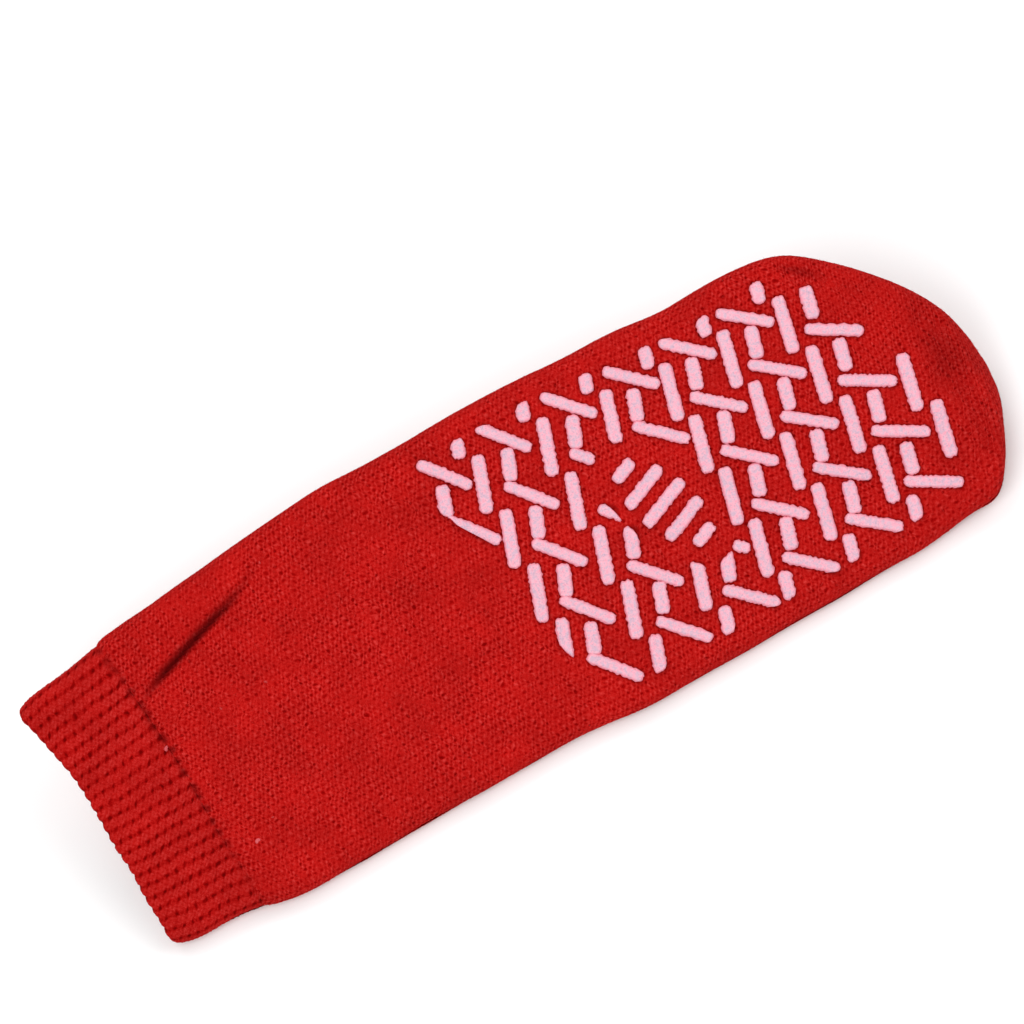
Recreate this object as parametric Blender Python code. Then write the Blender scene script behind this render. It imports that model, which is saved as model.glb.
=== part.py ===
"""Slipper sock: a knitted tube sock with a printed grip sole, lying on its side.

The sock runs along X, cuff at -X and toe at +X, in metres with +Z up. It is empty and slack. Its grip sole
leans back from the floor, the lower side edge of the sole and the side of the upper both lie on the floor,
and the mouth of the cuff is open.

Every cross section is the outline of a belt drawn round three rounds: the sole's lower edge, the sole's upper
edge and the back of the upper where it turns up from the floor. The same rounds, made smaller by the wall,
give the inner face, so the wall keeps its thickness all the way round.
"""

import math
from collections import namedtuple

import bmesh
import bpy
import numpy as np
from mathutils import Vector
from mathutils.geometry import intersect_line_line_2d

# Driving sizes, in metres
LENGTH = 0.326              # top corner of the cuff to the toe
BALL_WIDTH = 0.108          # across the ball, side edge to side edge
INSTEP_DEPTH = 0.037        # sole to the back of the upper, at the instep
SOLE_LEAN = math.radians(28.0)  # between the sole and the floor
EDGE_ROUND = 0.0055         # radius of the two folds along the sole
BACK_ROUND = 0.011          # radius where the upper turns up from the floor
ROUND_SHARE = 0.43          # no round is more than this share of the section's depth
SOLE_CROWN = 0.0012         # how far the sole swells between its edges
BACK_CROWN = 0.0055         # how far the slack back of the upper swells
WALL = 0.0023               # terry knit of leg and foot
CUFF_WALL = 0.0029          # double rib of the cuff
CUFF_HEIGHT = 0.0312        # mouth to the line where the rib ends
CUFF_RIM = 0.0009           # how far the rim rounds over at the mouth
MOUTH_REACH = 0.0070        # how far the upper corner of the mouth stands past its middle
MOUTH_FADE = 0.0690         # length over which that slant dies out
CLEARANCE = 0.0003          # between pieces that meet

# Toe seam, a ridge over the back of the toe
SEAM_WIDTH = 0.0032
SEAM_HEIGHT = 0.0012
SEAM_UPPER_ALONG = 0.893    # where it meets the upper fold, as a share of LENGTH
SEAM_LOWER_ALONG = 0.936    # where it meets the lower fold
SEAM_END_SHARE = 0.35       # of its width and height, kept at its two ends
SEAM_TAPER_SHARE = 0.1625   # of its run, over which each end tapers

# Grip print on the sole
PRINT_HEIGHT = 0.0008
ROW_PITCH = 0.0224          # one long row to the next, along the sock
BAR_PITCH = 0.0195          # one bar to the next, across the sock
LONG_LENGTH = 0.0178
LONG_WIDTH = 0.0043
SHORT_LENGTH = 0.0100
SHORT_WIDTH = 0.0045
CROSS_LENGTH = 0.0184
CROSS_WIDTH = 0.0036
BAR_CORNER = 0.0009         # corner cut of every bar
CHAIN_REACH = 0.0042        # most that an end of a short bar is drawn out to join a cross bar
SHORTEST_BAR = 0.0042       # a trimmed bar that is shorter is left out

# Ribbed oval in the middle of the print
OVAL_LENGTH = 0.0370
OVAL_WIDTH = 0.0190
OVAL_RIBS = 5
RIB_WIDTH = 0.0042
OVAL_TURN = math.radians(-68.0)
OVAL_ALONG = 0.6560         # its centre and the print's middle, as a share of LENGTH
OVAL_CLEAR_ENDS = 0.0077    # bare knit kept past its ends
OVAL_CLEAR_SIDES = 0.0034   # bare knit kept beside it

EDGE_FACES = 4              # round each fold
BACK_ROUND_FACES = 4        # round the back's turn
SOLE_FACES = 8
BACK_FACES = 6
FLOOR_FACES = 2
RINGS_PER_STATION = 2
SMOOTH_SAMPLES = 24         # samples between stations, for reading the form at any length
TRIM_STEPS = 48             # steps along a bar where the print's outline is tested
SEAM_STEPS = 24

# A row for each section, cuff to toe. along is a share of LENGTH, upper and lower are the two side edges as
# shares of BALL_WIDTH from the sock's axis, and depth and lift are shares of INSTEP_DEPTH
Station = namedtuple("Station", "along upper lower depth lift")
STATIONS = (
    Station(0.0215, 0.425, -0.413, 0.62, 0.00),
    Station(0.0500, 0.441, -0.428, 0.63, 0.00),
    Station(0.1000, 0.462, -0.436, 0.67, 0.00),
    Station(0.1500, 0.491, -0.464, 0.74, 0.00),
    Station(0.2300, 0.517, -0.474, 0.82, 0.00),
    Station(0.3450, 0.540, -0.474, 0.90, 0.00),
    Station(0.4600, 0.542, -0.477, 0.96, 0.00),
    Station(0.5400, 0.540, -0.499, 1.00, 0.00),
    Station(0.6400, 0.527, -0.504, 0.98, 0.00),
    Station(0.7400, 0.500, -0.504, 0.92, 0.00),
    Station(0.8300, 0.493, -0.502, 0.84, 0.00),
    Station(0.8750, 0.462, -0.494, 0.76, 0.00),
    Station(0.9150, 0.370, -0.484, 0.66, 0.05),
    Station(0.9440, 0.284, -0.470, 0.56, 0.11),
    Station(0.9690, 0.190, -0.388, 0.45, 0.17),
    Station(0.9880, 0.086, -0.281, 0.32, 0.24),
    Station(0.9970, -0.012, -0.210, 0.20, 0.28),
    Station(1.0000, -0.095, -0.150, 0.10, 0.30),
)

# A row for each row of bars, heel to toe. place is where the row crosses the axis, in ROW_PITCH from the oval's
# centre. skew is how far the row runs toward the toe for each metre across. phase places the bar numbered 0, and
# pitch spaces the bars, both as shares of BAR_PITCH. slant is the angle from the toe direction, in degrees. The
# bars are numbered first to last, from the lower edge up
BarRow = namedtuple("BarRow", "place skew phase pitch slant first last")
LONG_ROWS = (
    BarRow(-2.183, 0.050, -0.25, 1.00, 70.0, -1, 3),
    BarRow(-1.106, 0.045, -0.25, 1.00, 71.0, -2, 3),
    BarRow(-0.079, 0.020, -0.40, 1.01, 73.0, -2, 3),
    BarRow(0.879, 0.000, -0.45, 0.98, 75.0, -2, 3),
    BarRow(1.877, -0.030, -0.46, 0.98, 76.0, -2, 3),
    BarRow(2.864, -0.070, -0.43, 0.98, 77.0, -2, 3),
    BarRow(3.857, -0.110, -0.30, 0.93, 77.0, -1, 0),
)
SHORT_ROWS = (
    BarRow(-2.780, 0.050, -0.25, 1.03, 70.0, 2, 2),
    BarRow(-1.757, 0.075, -0.29, 1.05, 68.0, -1, 2),
    BarRow(-0.664, 0.040, -0.30, 1.02, 69.0, -1, 2),
    BarRow(0.342, 0.000, -0.40, 1.01, 70.0, -1, 2),
    BarRow(1.307, -0.010, -0.44, 1.01, 72.0, -1, 2),
    BarRow(2.307, -0.040, -0.46, 1.00, 74.0, -1, 2),
    BarRow(3.292, -0.050, -0.37, 1.01, 76.0, -1, 2),
)
CROSS_ROWS = (
    BarRow(-2.583, 0.040, 0.15, 1.02, -52.0, 1, 2),
    BarRow(-1.649, 0.070, 0.15, 1.04, -51.0, -2, 2),
    BarRow(-0.568, 0.047, 0.10, 1.03, -48.0, -2, 2),
    BarRow(0.451, 0.020, 0.00, 1.02, -44.0, -2, 2),
    BarRow(1.393, 0.000, -0.03, 1.01, -42.0, -2, 2),
    BarRow(2.387, -0.040, -0.02, 0.99, -39.0, -2, 2),
    BarRow(3.385, -0.060, 0.07, 0.99, -31.0, -2, 1),
)

# The print's own outline: between these side limits, as shares of BALL_WIDTH, bars are printed. place is in
# ROW_PITCH from the oval's centre
Limit = namedtuple("Limit", "place upper lower")
PRINT_LIMITS = (
    Limit(-2.882, 0.475, 0.110),
    Limit(-2.416, 0.472, -0.160),
    Limit(-2.183, 0.470, -0.290),
    Limit(-1.615, 0.470, -0.428),
    Limit(-1.106, 0.470, -0.430),
    Limit(-0.087, 0.450, -0.434),
    Limit(1.514, 0.418, -0.434),
    Limit(2.532, 0.434, -0.432),
    Limit(2.969, 0.430, -0.422),
    Limit(3.988, 0.300, -0.400),
)


def catmull_rom(rows, position):
    """Reads a table of rows at a fractional row number, along a smooth curve through the rows."""
    last = len(rows) - 1
    index = min(int(position), last - 1)
    part = position - index
    before, start, end, after = (
        np.array(rows[min(max(index + step, 0), last)]) for step in (-1, 0, 1, 2)
    )
    return 0.5 * (
        2.0 * start
        + (end - before) * part
        + (2.0 * before - 5.0 * start + 4.0 * end - after) * part**2
        + (3.0 * start - before - 3.0 * end + after) * part**3
    )


SMOOTH_POSITIONS = np.linspace(0.0, len(STATIONS) - 1, (len(STATIONS) - 1) * SMOOTH_SAMPLES + 1)
SMOOTH_ALONG = np.array([catmull_rom(STATIONS, position)[0] for position in SMOOTH_POSITIONS])


def position_of(along):
    """The fractional row number of STATIONS at a share of LENGTH."""
    return float(np.interp(along, SMOOTH_ALONG, SMOOTH_POSITIONS))


# The two directions of the leaning sole, in the plane of Y and Z: up its width, and out of it
UP_SOLE = Vector((math.cos(SOLE_LEAN), math.sin(SOLE_LEAN)))
OUT_OF_SOLE = Vector((-math.sin(SOLE_LEAN), math.cos(SOLE_LEAN)))

Section = namedtuple("Section", "x centres radii crowns")


def section_at(position, inset=0.0):
    """The three rounds of the cross section at a fractional row of STATIONS, made smaller by inset."""
    along, upper, lower, depth, lift = catmull_rom(STATIONS, position).tolist()
    depth *= INSTEP_DEPTH
    lift = max(0.0, lift) * INSTEP_DEPTH
    edge = min(EDGE_ROUND, ROUND_SHARE * depth)
    back = min(BACK_ROUND, ROUND_SHARE * depth)
    low_y = (lower * BALL_WIDTH + edge - (edge + lift) * UP_SOLE.y) / UP_SOLE.x
    low = Vector((low_y, edge + lift))
    high = low + UP_SOLE * ((upper - lower) * BALL_WIDTH - 2.0 * edge)
    foot_reach = (depth - edge - back + (back - edge) * UP_SOLE.x) / UP_SOLE.y
    foot = Vector((low.x + foot_reach, back + lift))
    fullness = depth / INSTEP_DEPTH
    return Section(
        x=(along - 0.5) * LENGTH,
        centres=(low, high, foot),
        radii=(edge - inset, edge - inset, back - inset),
        crowns=(SOLE_CROWN * fullness, BACK_CROWN * fullness, 0.0),
    )


def side_normal(section, index):
    """The outward direction of the straight side that leaves one round for the next."""
    following = (index + 1) % 3
    run = section.centres[following] - section.centres[index]
    rise = math.asin((section.radii[index] - section.radii[following]) / run.length)
    run.normalize()
    left = Vector((-run.y, run.x))
    return left * math.cos(rise) + run * math.sin(rise)


def outline_of(section):
    """The section's outline in the plane of Y and Z, from the lower fold over the sole and down the back."""
    arcs = (EDGE_FACES, EDGE_FACES, BACK_ROUND_FACES)
    sides = (SOLE_FACES, BACK_FACES, FLOOR_FACES)
    normals = [side_normal(section, index) for index in range(3)]
    points = []
    for index in range(3):
        arriving = normals[index - 1]
        leaving = normals[index]
        start = math.atan2(arriving.y, arriving.x)
        turn = (math.atan2(leaving.y, leaving.x) - start) % (2.0 * math.pi) - 2.0 * math.pi
        centre = section.centres[index]
        for step in range(arcs[index] + 1):
            angle = start + turn * step / arcs[index]
            points.append(centre + section.radii[index] * Vector((math.cos(angle), math.sin(angle))))
        following = (index + 1) % 3
        side_start = points[-1]
        side_end = section.centres[following] + section.radii[following] * leaving
        for step in range(1, sides[index]):
            share = step / sides[index]
            swell = section.crowns[index] * math.sin(math.pi * share) ** 2
            points.append(side_start.lerp(side_end, share) + leaving * swell)
    return points


def mouth_shift(along, y, z):
    """How far the cuff's slanted mouth draws a point back along X."""
    across = max(0.0, (y * UP_SOLE.x + z * UP_SOLE.y) / (STATIONS[0].upper * BALL_WIDTH))
    fade = max(0.0, 1.0 - (along - STATIONS[0].along) * LENGTH / MOUTH_FADE)
    return MOUTH_REACH * fade * across**2


def ring_at(position, inset=0.0):
    """The section's outline as points in space."""
    section = section_at(position, inset)
    along = section.x / LENGTH + 0.5
    return [
        Vector((section.x - mouth_shift(along, point.x, point.y), point.x, point.y))
        for point in outline_of(section)
    ]


def centre_of(ring):
    """The mean of a ring's points."""
    return sum(ring, Vector()) / len(ring)


def new_object(name, mesh, collection):
    """Links a new object with this mesh to a collection."""
    made = bpy.data.objects.new(name, mesh)
    collection.objects.link(made)
    return made


def lofted_object(name, rings, collection, closed=False):
    """A loft through rings of equal count: open lofts are closed by a point at each end, closed ones run round."""
    form = bmesh.new()
    loops = [[form.verts.new(point) for point in ring] for ring in rings]
    count = len(rings[0])
    pairs = list(zip(loops, loops[1:]))
    if closed:
        pairs.append((loops[-1], loops[0]))
    for first, second in pairs:
        for index in range(count):
            following = (index + 1) % count
            form.faces.new((first[index], first[following], second[following], second[index]))
    if not closed:
        for loop, ring in ((loops[0], rings[0]), (loops[-1], rings[-1])):
            tip = form.verts.new(centre_of(ring))
            for index in range(count):
                form.faces.new((loop[index], loop[(index + 1) % count], tip))
    bmesh.ops.recalc_face_normals(form, faces=form.faces)
    mesh = bpy.data.meshes.new(name)
    form.to_mesh(mesh)
    form.free()
    mesh.shade_smooth()
    mesh.set_sharp_from_angle(angle=math.radians(50.0))
    return new_object(name, mesh, collection)


def ring_positions(start_along, end_along):
    """Fractional rows of STATIONS for the rings between two shares of LENGTH, both ends included."""
    start = position_of(start_along)
    end = position_of(end_along)
    inner = [
        step / RINGS_PER_STATION
        for step in range(RINGS_PER_STATION * (len(STATIONS) - 1) + 1)
        if start + 0.2 < step / RINGS_PER_STATION < end - 0.2
    ]
    return [start, *inner, end]


CUFF_END = STATIONS[0].along + CUFF_HEIGHT / LENGTH
BODY_START = CUFF_END + CLEARANCE / LENGTH


def make_body(collection):
    """Leg, foot and sole, knitted whole: a hollow tube that closes at the toe."""
    outer = [ring_at(position) for position in ring_positions(BODY_START, STATIONS[-1].along)]
    inner_end = STATIONS[-1].along - WALL / LENGTH
    inner = [ring_at(position, WALL) for position in ring_positions(BODY_START, inner_end)]
    return lofted_object("knit_body", outer[::-1] + inner, collection)


def make_cuff(collection):
    """The rib cuff, a thicker tube with a rounded rim at the mouth."""
    positions = ring_positions(STATIONS[0].along + CUFF_RIM / LENGTH, CUFF_END)
    outer = [ring_at(position) for position in positions]
    inner = [ring_at(position, CUFF_WALL) for position in positions]
    lip = [ring_at(0.0, share * CUFF_WALL) for share in (0.75, 0.25)]
    return lofted_object("rib_cuff", inner[::-1] + lip + outer, collection, closed=True)


def sole_point(x, across, height):
    """A point at a height over the sole's outer face, at a distance across from the sock's axis."""
    section = section_at(position_of(x / LENGTH + 0.5))
    low, high = section.centres[:2]
    low_across = low.dot(UP_SOLE)
    share = (across - low_across) / (high.dot(UP_SOLE) - low_across)
    swell = section.crowns[0] * math.sin(math.pi * min(max(share, 0.0), 1.0)) ** 2
    point = low.lerp(high, share) + OUT_OF_SOLE * (section.radii[0] + swell + height)
    return Vector((x, point.x, point.y))


PRINT_MIDDLE = (OVAL_ALONG - 0.5) * LENGTH
Bar = namedtuple("Bar", "x across length width turn")


def is_printed(x, across):
    """Whether a point of the sole lies inside the print's outline and outside the oval's bare border."""
    place = (x - PRINT_MIDDLE) / ROW_PITCH
    rows = np.array(PRINT_LIMITS)
    upper = np.interp(place, rows[:, 0], rows[:, 1]) * BALL_WIDTH
    lower = np.interp(place, rows[:, 0], rows[:, 2]) * BALL_WIDTH
    reach = Vector((x - PRINT_MIDDLE, across))
    run = Vector((math.cos(OVAL_TURN), math.sin(OVAL_TURN)))
    beside = run.x * reach.y - run.y * reach.x
    length_share = reach.dot(run) / (0.5 * OVAL_LENGTH + OVAL_CLEAR_ENDS)
    width_share = beside / (0.5 * OVAL_WIDTH + OVAL_CLEAR_SIDES)
    return lower <= across <= upper and length_share**2 + width_share**2 >= 1.0


def trimmed(bar):
    """The longest printed stretch of a bar, or None where too little of it is printed."""
    run = Vector((math.cos(bar.turn), math.sin(bar.turn)))
    best = (0, 0)
    start = None
    for step in range(TRIM_STEPS + 2):
        offset = (step / TRIM_STEPS - 0.5) * bar.length
        inside = step <= TRIM_STEPS and is_printed(bar.x + run.x * offset, bar.across + run.y * offset)
        if inside and start is None:
            start = step
        if not inside and start is not None:
            if step - 1 - start > best[1] - best[0]:
                best = (start, step - 1)
            start = None
    length = (best[1] - best[0]) / TRIM_STEPS * bar.length
    if length < SHORTEST_BAR:
        return None
    middle = (0.5 * (best[0] + best[1]) / TRIM_STEPS - 0.5) * bar.length
    return bar._replace(x=bar.x + run.x * middle, across=bar.across + run.y * middle, length=length)


def bars_of(row, length, width):
    """The trimmed bars of one row of the print, as a dictionary from each bar's number to the bar."""
    bars = {}
    for number in range(row.first, row.last + 1):
        across = (row.phase + row.pitch * number) * BAR_PITCH
        x = PRINT_MIDDLE + row.place * ROW_PITCH + row.skew * across
        bar = trimmed(Bar(x, across, length, width, math.radians(row.slant)))
        if bar:
            bars[number] = bar
    return bars


def flat_bar(name, bar, collection):
    """One bar as a flat block with cut corners, lying at its place in the flat plan of the print."""
    form = bmesh.new()
    bmesh.ops.create_cube(form, size=1.0)
    bmesh.ops.scale(form, vec=(bar.length, bar.width, PRINT_HEIGHT), verts=form.verts)
    upright = [
        edge for edge in form.edges if abs(edge.verts[0].co.z - edge.verts[1].co.z) > 0.5 * PRINT_HEIGHT
    ]
    bmesh.ops.bevel(form, geom=upright, offset=BAR_CORNER, segments=1, affect="EDGES")
    mesh = bpy.data.meshes.new(name)
    form.to_mesh(mesh)
    form.free()
    made = new_object(name, mesh, collection)
    made.location = (bar.x, bar.across, 0.5 * PRINT_HEIGHT)
    made.rotation_euler = (0.0, 0.0, bar.turn)
    return made


def lay_on_sole(name, flat, collection):
    """The flat object's evaluated mesh, laid on the sole with the usual clearance under it."""
    bpy.context.view_layer.update()
    mesh = bpy.data.meshes.new_from_object(flat.evaluated_get(bpy.context.evaluated_depsgraph_get()))
    mesh.name = name
    mesh.transform(flat.matrix_world)
    for vertex in mesh.vertices:
        vertex.co = sole_point(vertex.co.x, vertex.co.y, CLEARANCE + vertex.co.z)
    mesh.update()
    return new_object(name, mesh, collection)


def discard(objects):
    """Removes flat objects once their shape has been laid on the sole."""
    for made in objects:
        bpy.data.objects.remove(made)


def make_long_bars(parts, cutters):
    """The rows of long bars, each bar a piece of its own."""
    laid = []
    for row_number, row in enumerate(LONG_ROWS, start=1):
        bars = bars_of(row, LONG_LENGTH, LONG_WIDTH)
        for number, bar in bars.items():
            flat = flat_bar("flat", bar, cutters)
            laid.append(lay_on_sole(f"long_bar_{row_number}_{number - row.first + 1}", flat, parts))
            discard([flat])
    return laid


def ends_of(bar):
    """The two end points of a bar's middle line, in the flat plan."""
    half = Vector((math.cos(bar.turn), math.sin(bar.turn))) * 0.5 * bar.length
    middle = Vector((bar.x, bar.across))
    return middle - half, middle + half


def joined_run(short, crosses):
    """A short bar lengthened to the middle lines of the cross bars beside it, and the cross bars that it meets."""
    run = Vector((math.cos(short.turn), math.sin(short.turn)))
    middle = Vector((short.x, short.across))
    reaches = [0.5 * short.length, 0.5 * short.length]
    met = []
    for cross in crosses:
        for side, sign in enumerate((-1.0, 1.0)):
            tip = middle + run * sign * (0.5 * short.length + CHAIN_REACH)
            crossing = intersect_line_line_2d(middle, tip, *ends_of(cross)) if cross else None
            if crossing:
                reaches[side] = (crossing - middle).length
                met.append(cross)
    centre = middle + run * 0.5 * (reaches[1] - reaches[0])
    return short._replace(x=centre.x, across=centre.y, length=sum(reaches)), met


def chains_of(shorts, crosses):
    """Groups short bars with the cross bars that they meet, as a dictionary from each chain's first number."""
    chains = {}
    latest = None
    for number in range(min(crosses), max(crosses) + 2):
        cross = crosses.get(number)
        short = shorts.get(number)
        if short:
            short, met = joined_run(short, (crosses.get(number - 1), cross))
            if crosses.get(number - 1) not in met:
                latest = number
            chains.setdefault(latest, []).append(short)
        if cross:
            if not short or cross not in met:
                latest = number
            chains.setdefault(latest, []).append(cross)
    return chains


def make_chains(parts, cutters):
    """The stepped chains of short and cross bars, each chain one joined piece."""
    laid = []
    for row_number, (short_row, cross_row) in enumerate(zip(SHORT_ROWS, CROSS_ROWS), start=1):
        shorts = bars_of(short_row, SHORT_LENGTH, SHORT_WIDTH)
        crosses = bars_of(cross_row, CROSS_LENGTH, CROSS_WIDTH)
        for number, chain in chains_of(shorts, crosses).items():
            blocks = [flat_bar("flat", bar, cutters) for bar in chain]
            for block in blocks[1:]:
                union = blocks[0].modifiers.new("join", "BOOLEAN")
                union.operation = "UNION"
                union.solver = "EXACT"
                union.object = block
            laid.append(lay_on_sole(f"chain_{row_number}_{number - cross_row.first + 1}", blocks[0], parts))
            discard(blocks)
    return laid


def make_oval_ribs(parts, cutters):
    """The ribbed oval: parallel ribs across its long axis, each as long as the oval is wide there."""
    laid = []
    run = Vector((math.cos(OVAL_TURN), math.sin(OVAL_TURN)))
    pitch = (OVAL_LENGTH - RIB_WIDTH) / (OVAL_RIBS - 1)
    for number in range(OVAL_RIBS):
        offset = (number - 0.5 * (OVAL_RIBS - 1)) * pitch
        share = abs(offset) / (0.5 * OVAL_LENGTH)
        length = OVAL_WIDTH * math.sqrt(1.0 - share**2)
        centre = Vector((PRINT_MIDDLE, 0.0)) + run * offset
        bar = Bar(centre.x, centre.y, length, RIB_WIDTH, OVAL_TURN + 0.5 * math.pi)
        flat = flat_bar("flat", bar, cutters)
        laid.append(lay_on_sole(f"oval_rib_{number + 1}", flat, parts))
        discard([flat])
    return laid


def skin_point(along, place, height):
    """A point at a height over the outer face, at a share of LENGTH and a fractional point of the outline."""
    rings = [ring_at(position_of(along + step / LENGTH)) for step in (-0.001, 0.0, 0.001)]
    count = len(rings[0])
    index = int(place) % count
    part = place - int(place)
    before, here, after = (ring[index].lerp(ring[(index + 1) % count], part) for ring in rings)
    around = rings[1][(index + 1) % count] - rings[1][index]
    return here + (after - before).cross(around).normalized() * height


def make_toe_seam(collection):
    """The linked toe seam: a low ridge over the back of the toe, from the upper fold to the lower one."""
    ridge = ((-0.50, 0.00), (-0.36, 0.75), (0.00, 1.00), (0.36, 0.75), (0.50, 0.00))
    first = EDGE_FACES + SOLE_FACES + EDGE_FACES // 2
    last = 2 * EDGE_FACES + SOLE_FACES + BACK_FACES + BACK_ROUND_FACES + FLOOR_FACES
    rings = []
    for step in range(SEAM_STEPS + 1):
        share = step / SEAM_STEPS
        along = SEAM_UPPER_ALONG + (SEAM_LOWER_ALONG - SEAM_UPPER_ALONG) * share
        place = first + (last - first) * share
        fullness = min(1.0, min(share, 1.0 - share) / SEAM_TAPER_SHARE)
        taper = SEAM_END_SHARE + (1.0 - SEAM_END_SHARE) * fullness
        rings.append([
            skin_point(
                along + SEAM_WIDTH * taper * across / LENGTH,
                place,
                1.5 * CLEARANCE + SEAM_HEIGHT * taper * height,
            )
            for across, height in ridge
        ])
    return lofted_object("toe_seam", rings, collection)


def make_material(name, colour, roughness, specular=0.2):
    """A Principled BSDF material with linear colour values."""
    material = bpy.data.materials.new(name)
    material.use_nodes = True
    shader = material.node_tree.nodes["Principled BSDF"]
    shader.inputs["Base Color"].default_value = (*colour, 1.0)
    shader.inputs["Roughness"].default_value = roughness
    shader.inputs["Metallic"].default_value = 0.0
    shader.inputs["Specular IOR Level"].default_value = specular
    return material


def clear_scene():
    """Removes every object of the open scene."""
    for made in list(bpy.data.objects):
        bpy.data.objects.remove(made)


def new_collection(name):
    """A new collection in the scene."""
    collection = bpy.data.collections.new(name)
    bpy.context.scene.collection.children.link(collection)
    return collection


def stand_on_origin(pieces, collection):
    """Parents the pieces to an empty and moves it, so that the origin is under the middle of their box."""
    corners = np.array([vertex.co for piece in pieces for vertex in piece.data.vertices])
    low = corners.min(axis=0)
    high = corners.max(axis=0)
    holder = bpy.data.objects.new("slipper_sock_origin", None)
    collection.objects.link(holder)
    for piece in pieces:
        piece.parent = holder
    holder.location = (-0.5 * (low[0] + high[0]), -0.5 * (low[1] + high[1]), -low[2])


def main():
    """Builds the sock."""
    clear_scene()
    parts = new_collection("slipper_sock")
    cutters = new_collection("slipper_sock_cutters")
    body = make_body(parts)
    cuff = make_cuff(parts)
    seam = make_toe_seam(parts)
    prints = make_long_bars(parts, cutters) + make_chains(parts, cutters) + make_oval_ribs(parts, cutters)
    body.data.materials.append(make_material("red_terry_knit", (0.52, 0.010, 0.012), 0.92))
    cuff.data.materials.append(make_material("red_rib_knit", (0.47, 0.009, 0.011), 0.92))
    seam.data.materials.append(make_material("red_linking_yarn", (0.45, 0.009, 0.011), 0.90))
    grip = make_material("pink_grip_print", (0.90, 0.50, 0.58), 0.62, 0.4)
    for piece in prints:
        piece.data.materials.append(grip)
    stand_on_origin([body, cuff, seam, *prints], parts)


main()
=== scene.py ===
"""Slipper sock, dressed: the knit, the rib cuff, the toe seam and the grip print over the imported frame.

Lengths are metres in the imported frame: +X from cuff to toe, +Z up, the floor at Z = 0. The sock lies on its
side with its grip sole leaning back. A place on the sole is given by x and by across, the distance from the
sock's axis up the leaning sole. Knit places are given in stitches: wales round the tube and courses along it.
"""
import logging
import math
from dataclasses import dataclass, field
from enum import Enum
from typing import NamedTuple

import bpy
import numpy as np
from bpy.types import ID, ColorRamp, Material, Mesh, Node, NodeSocket, NodeTree, Object
from mathutils import Matrix, Vector
from mathutils.geometry import intersect_line_line_2d


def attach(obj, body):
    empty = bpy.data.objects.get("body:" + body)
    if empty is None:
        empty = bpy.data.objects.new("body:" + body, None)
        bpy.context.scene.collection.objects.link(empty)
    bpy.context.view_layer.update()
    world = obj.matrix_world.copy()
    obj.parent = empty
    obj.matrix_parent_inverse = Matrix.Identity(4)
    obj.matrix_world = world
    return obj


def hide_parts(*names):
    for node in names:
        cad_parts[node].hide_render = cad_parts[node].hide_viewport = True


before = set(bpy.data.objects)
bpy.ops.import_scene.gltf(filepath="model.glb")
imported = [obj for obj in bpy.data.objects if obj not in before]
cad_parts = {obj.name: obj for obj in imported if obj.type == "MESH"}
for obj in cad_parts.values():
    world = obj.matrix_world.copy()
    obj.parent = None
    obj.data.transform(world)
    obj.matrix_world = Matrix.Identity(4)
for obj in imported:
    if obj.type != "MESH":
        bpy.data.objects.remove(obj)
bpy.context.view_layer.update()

LOG = logging.getLogger("slipper_sock")
BODY = "root"
MM = 0.001
ON_FLOOR = 0.02 * MM  # the lowest that cloth lies
TIP_SHARES = (0.85, 0.6, 0.3, 0.04)  # sizes of the rings that close the toe, as shares of its last ring
TIP_BULGE = 0.3 * MM
STITCH_MAP = "stitches"
# Strength of the painted shade at each vertex of the knit: in creases, beside the print, at the linking line
# and inside the cuff
PAINTED_SHADE = "shade"
OPEN = "open"
RIM = "rim"


Grid = np.ndarray
Input = NodeSocket | float | tuple[float, ...]


class Slot(Enum):
    """The record's material slots."""

    TERRY = "terry_knit"
    RIB = "rib_knit"
    LINKING = "linking_yarn"
    PRINT = "grip_print"


class Station(NamedTuple):
    """A cross section.

    along is a share of the length, the side edges of the ball width, and depth and lift of the instep depth.
    """

    along: float
    upper: float
    lower: float
    depth: float
    lift: float


STATIONS = (
    Station(0.0215, 0.425, -0.413, 0.62, 0.00),
    Station(0.0500, 0.441, -0.428, 0.63, 0.00),
    Station(0.1000, 0.462, -0.436, 0.67, 0.00),
    Station(0.1500, 0.491, -0.464, 0.74, 0.00),
    Station(0.2300, 0.517, -0.474, 0.82, 0.00),
    Station(0.3450, 0.540, -0.474, 0.90, 0.00),
    Station(0.4600, 0.542, -0.477, 0.96, 0.00),
    Station(0.5400, 0.540, -0.499, 1.00, 0.00),
    Station(0.6400, 0.527, -0.504, 0.98, 0.00),
    Station(0.7400, 0.500, -0.504, 0.92, 0.00),
    Station(0.8300, 0.493, -0.502, 0.84, 0.00),
    Station(0.8750, 0.462, -0.494, 0.76, 0.00),
    Station(0.9150, 0.370, -0.484, 0.66, 0.05),
    Station(0.9440, 0.284, -0.470, 0.56, 0.11),
    Station(0.9690, 0.190, -0.388, 0.45, 0.17),
    Station(0.9880, 0.086, -0.281, 0.32, 0.24),
    Station(0.9970, -0.012, -0.210, 0.20, 0.28),
    Station(1.0000, -0.095, -0.150, 0.10, 0.30),
)


class BarRow(NamedTuple):
    """A row of bars.

    place is in row pitches from the print's middle, skew, phase and pitch in bar pitches, and slant in
    degrees. first and last are the bars' numbers.
    """

    place: float
    skew: float
    phase: float
    pitch: float
    slant: float
    first: int
    last: int


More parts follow.
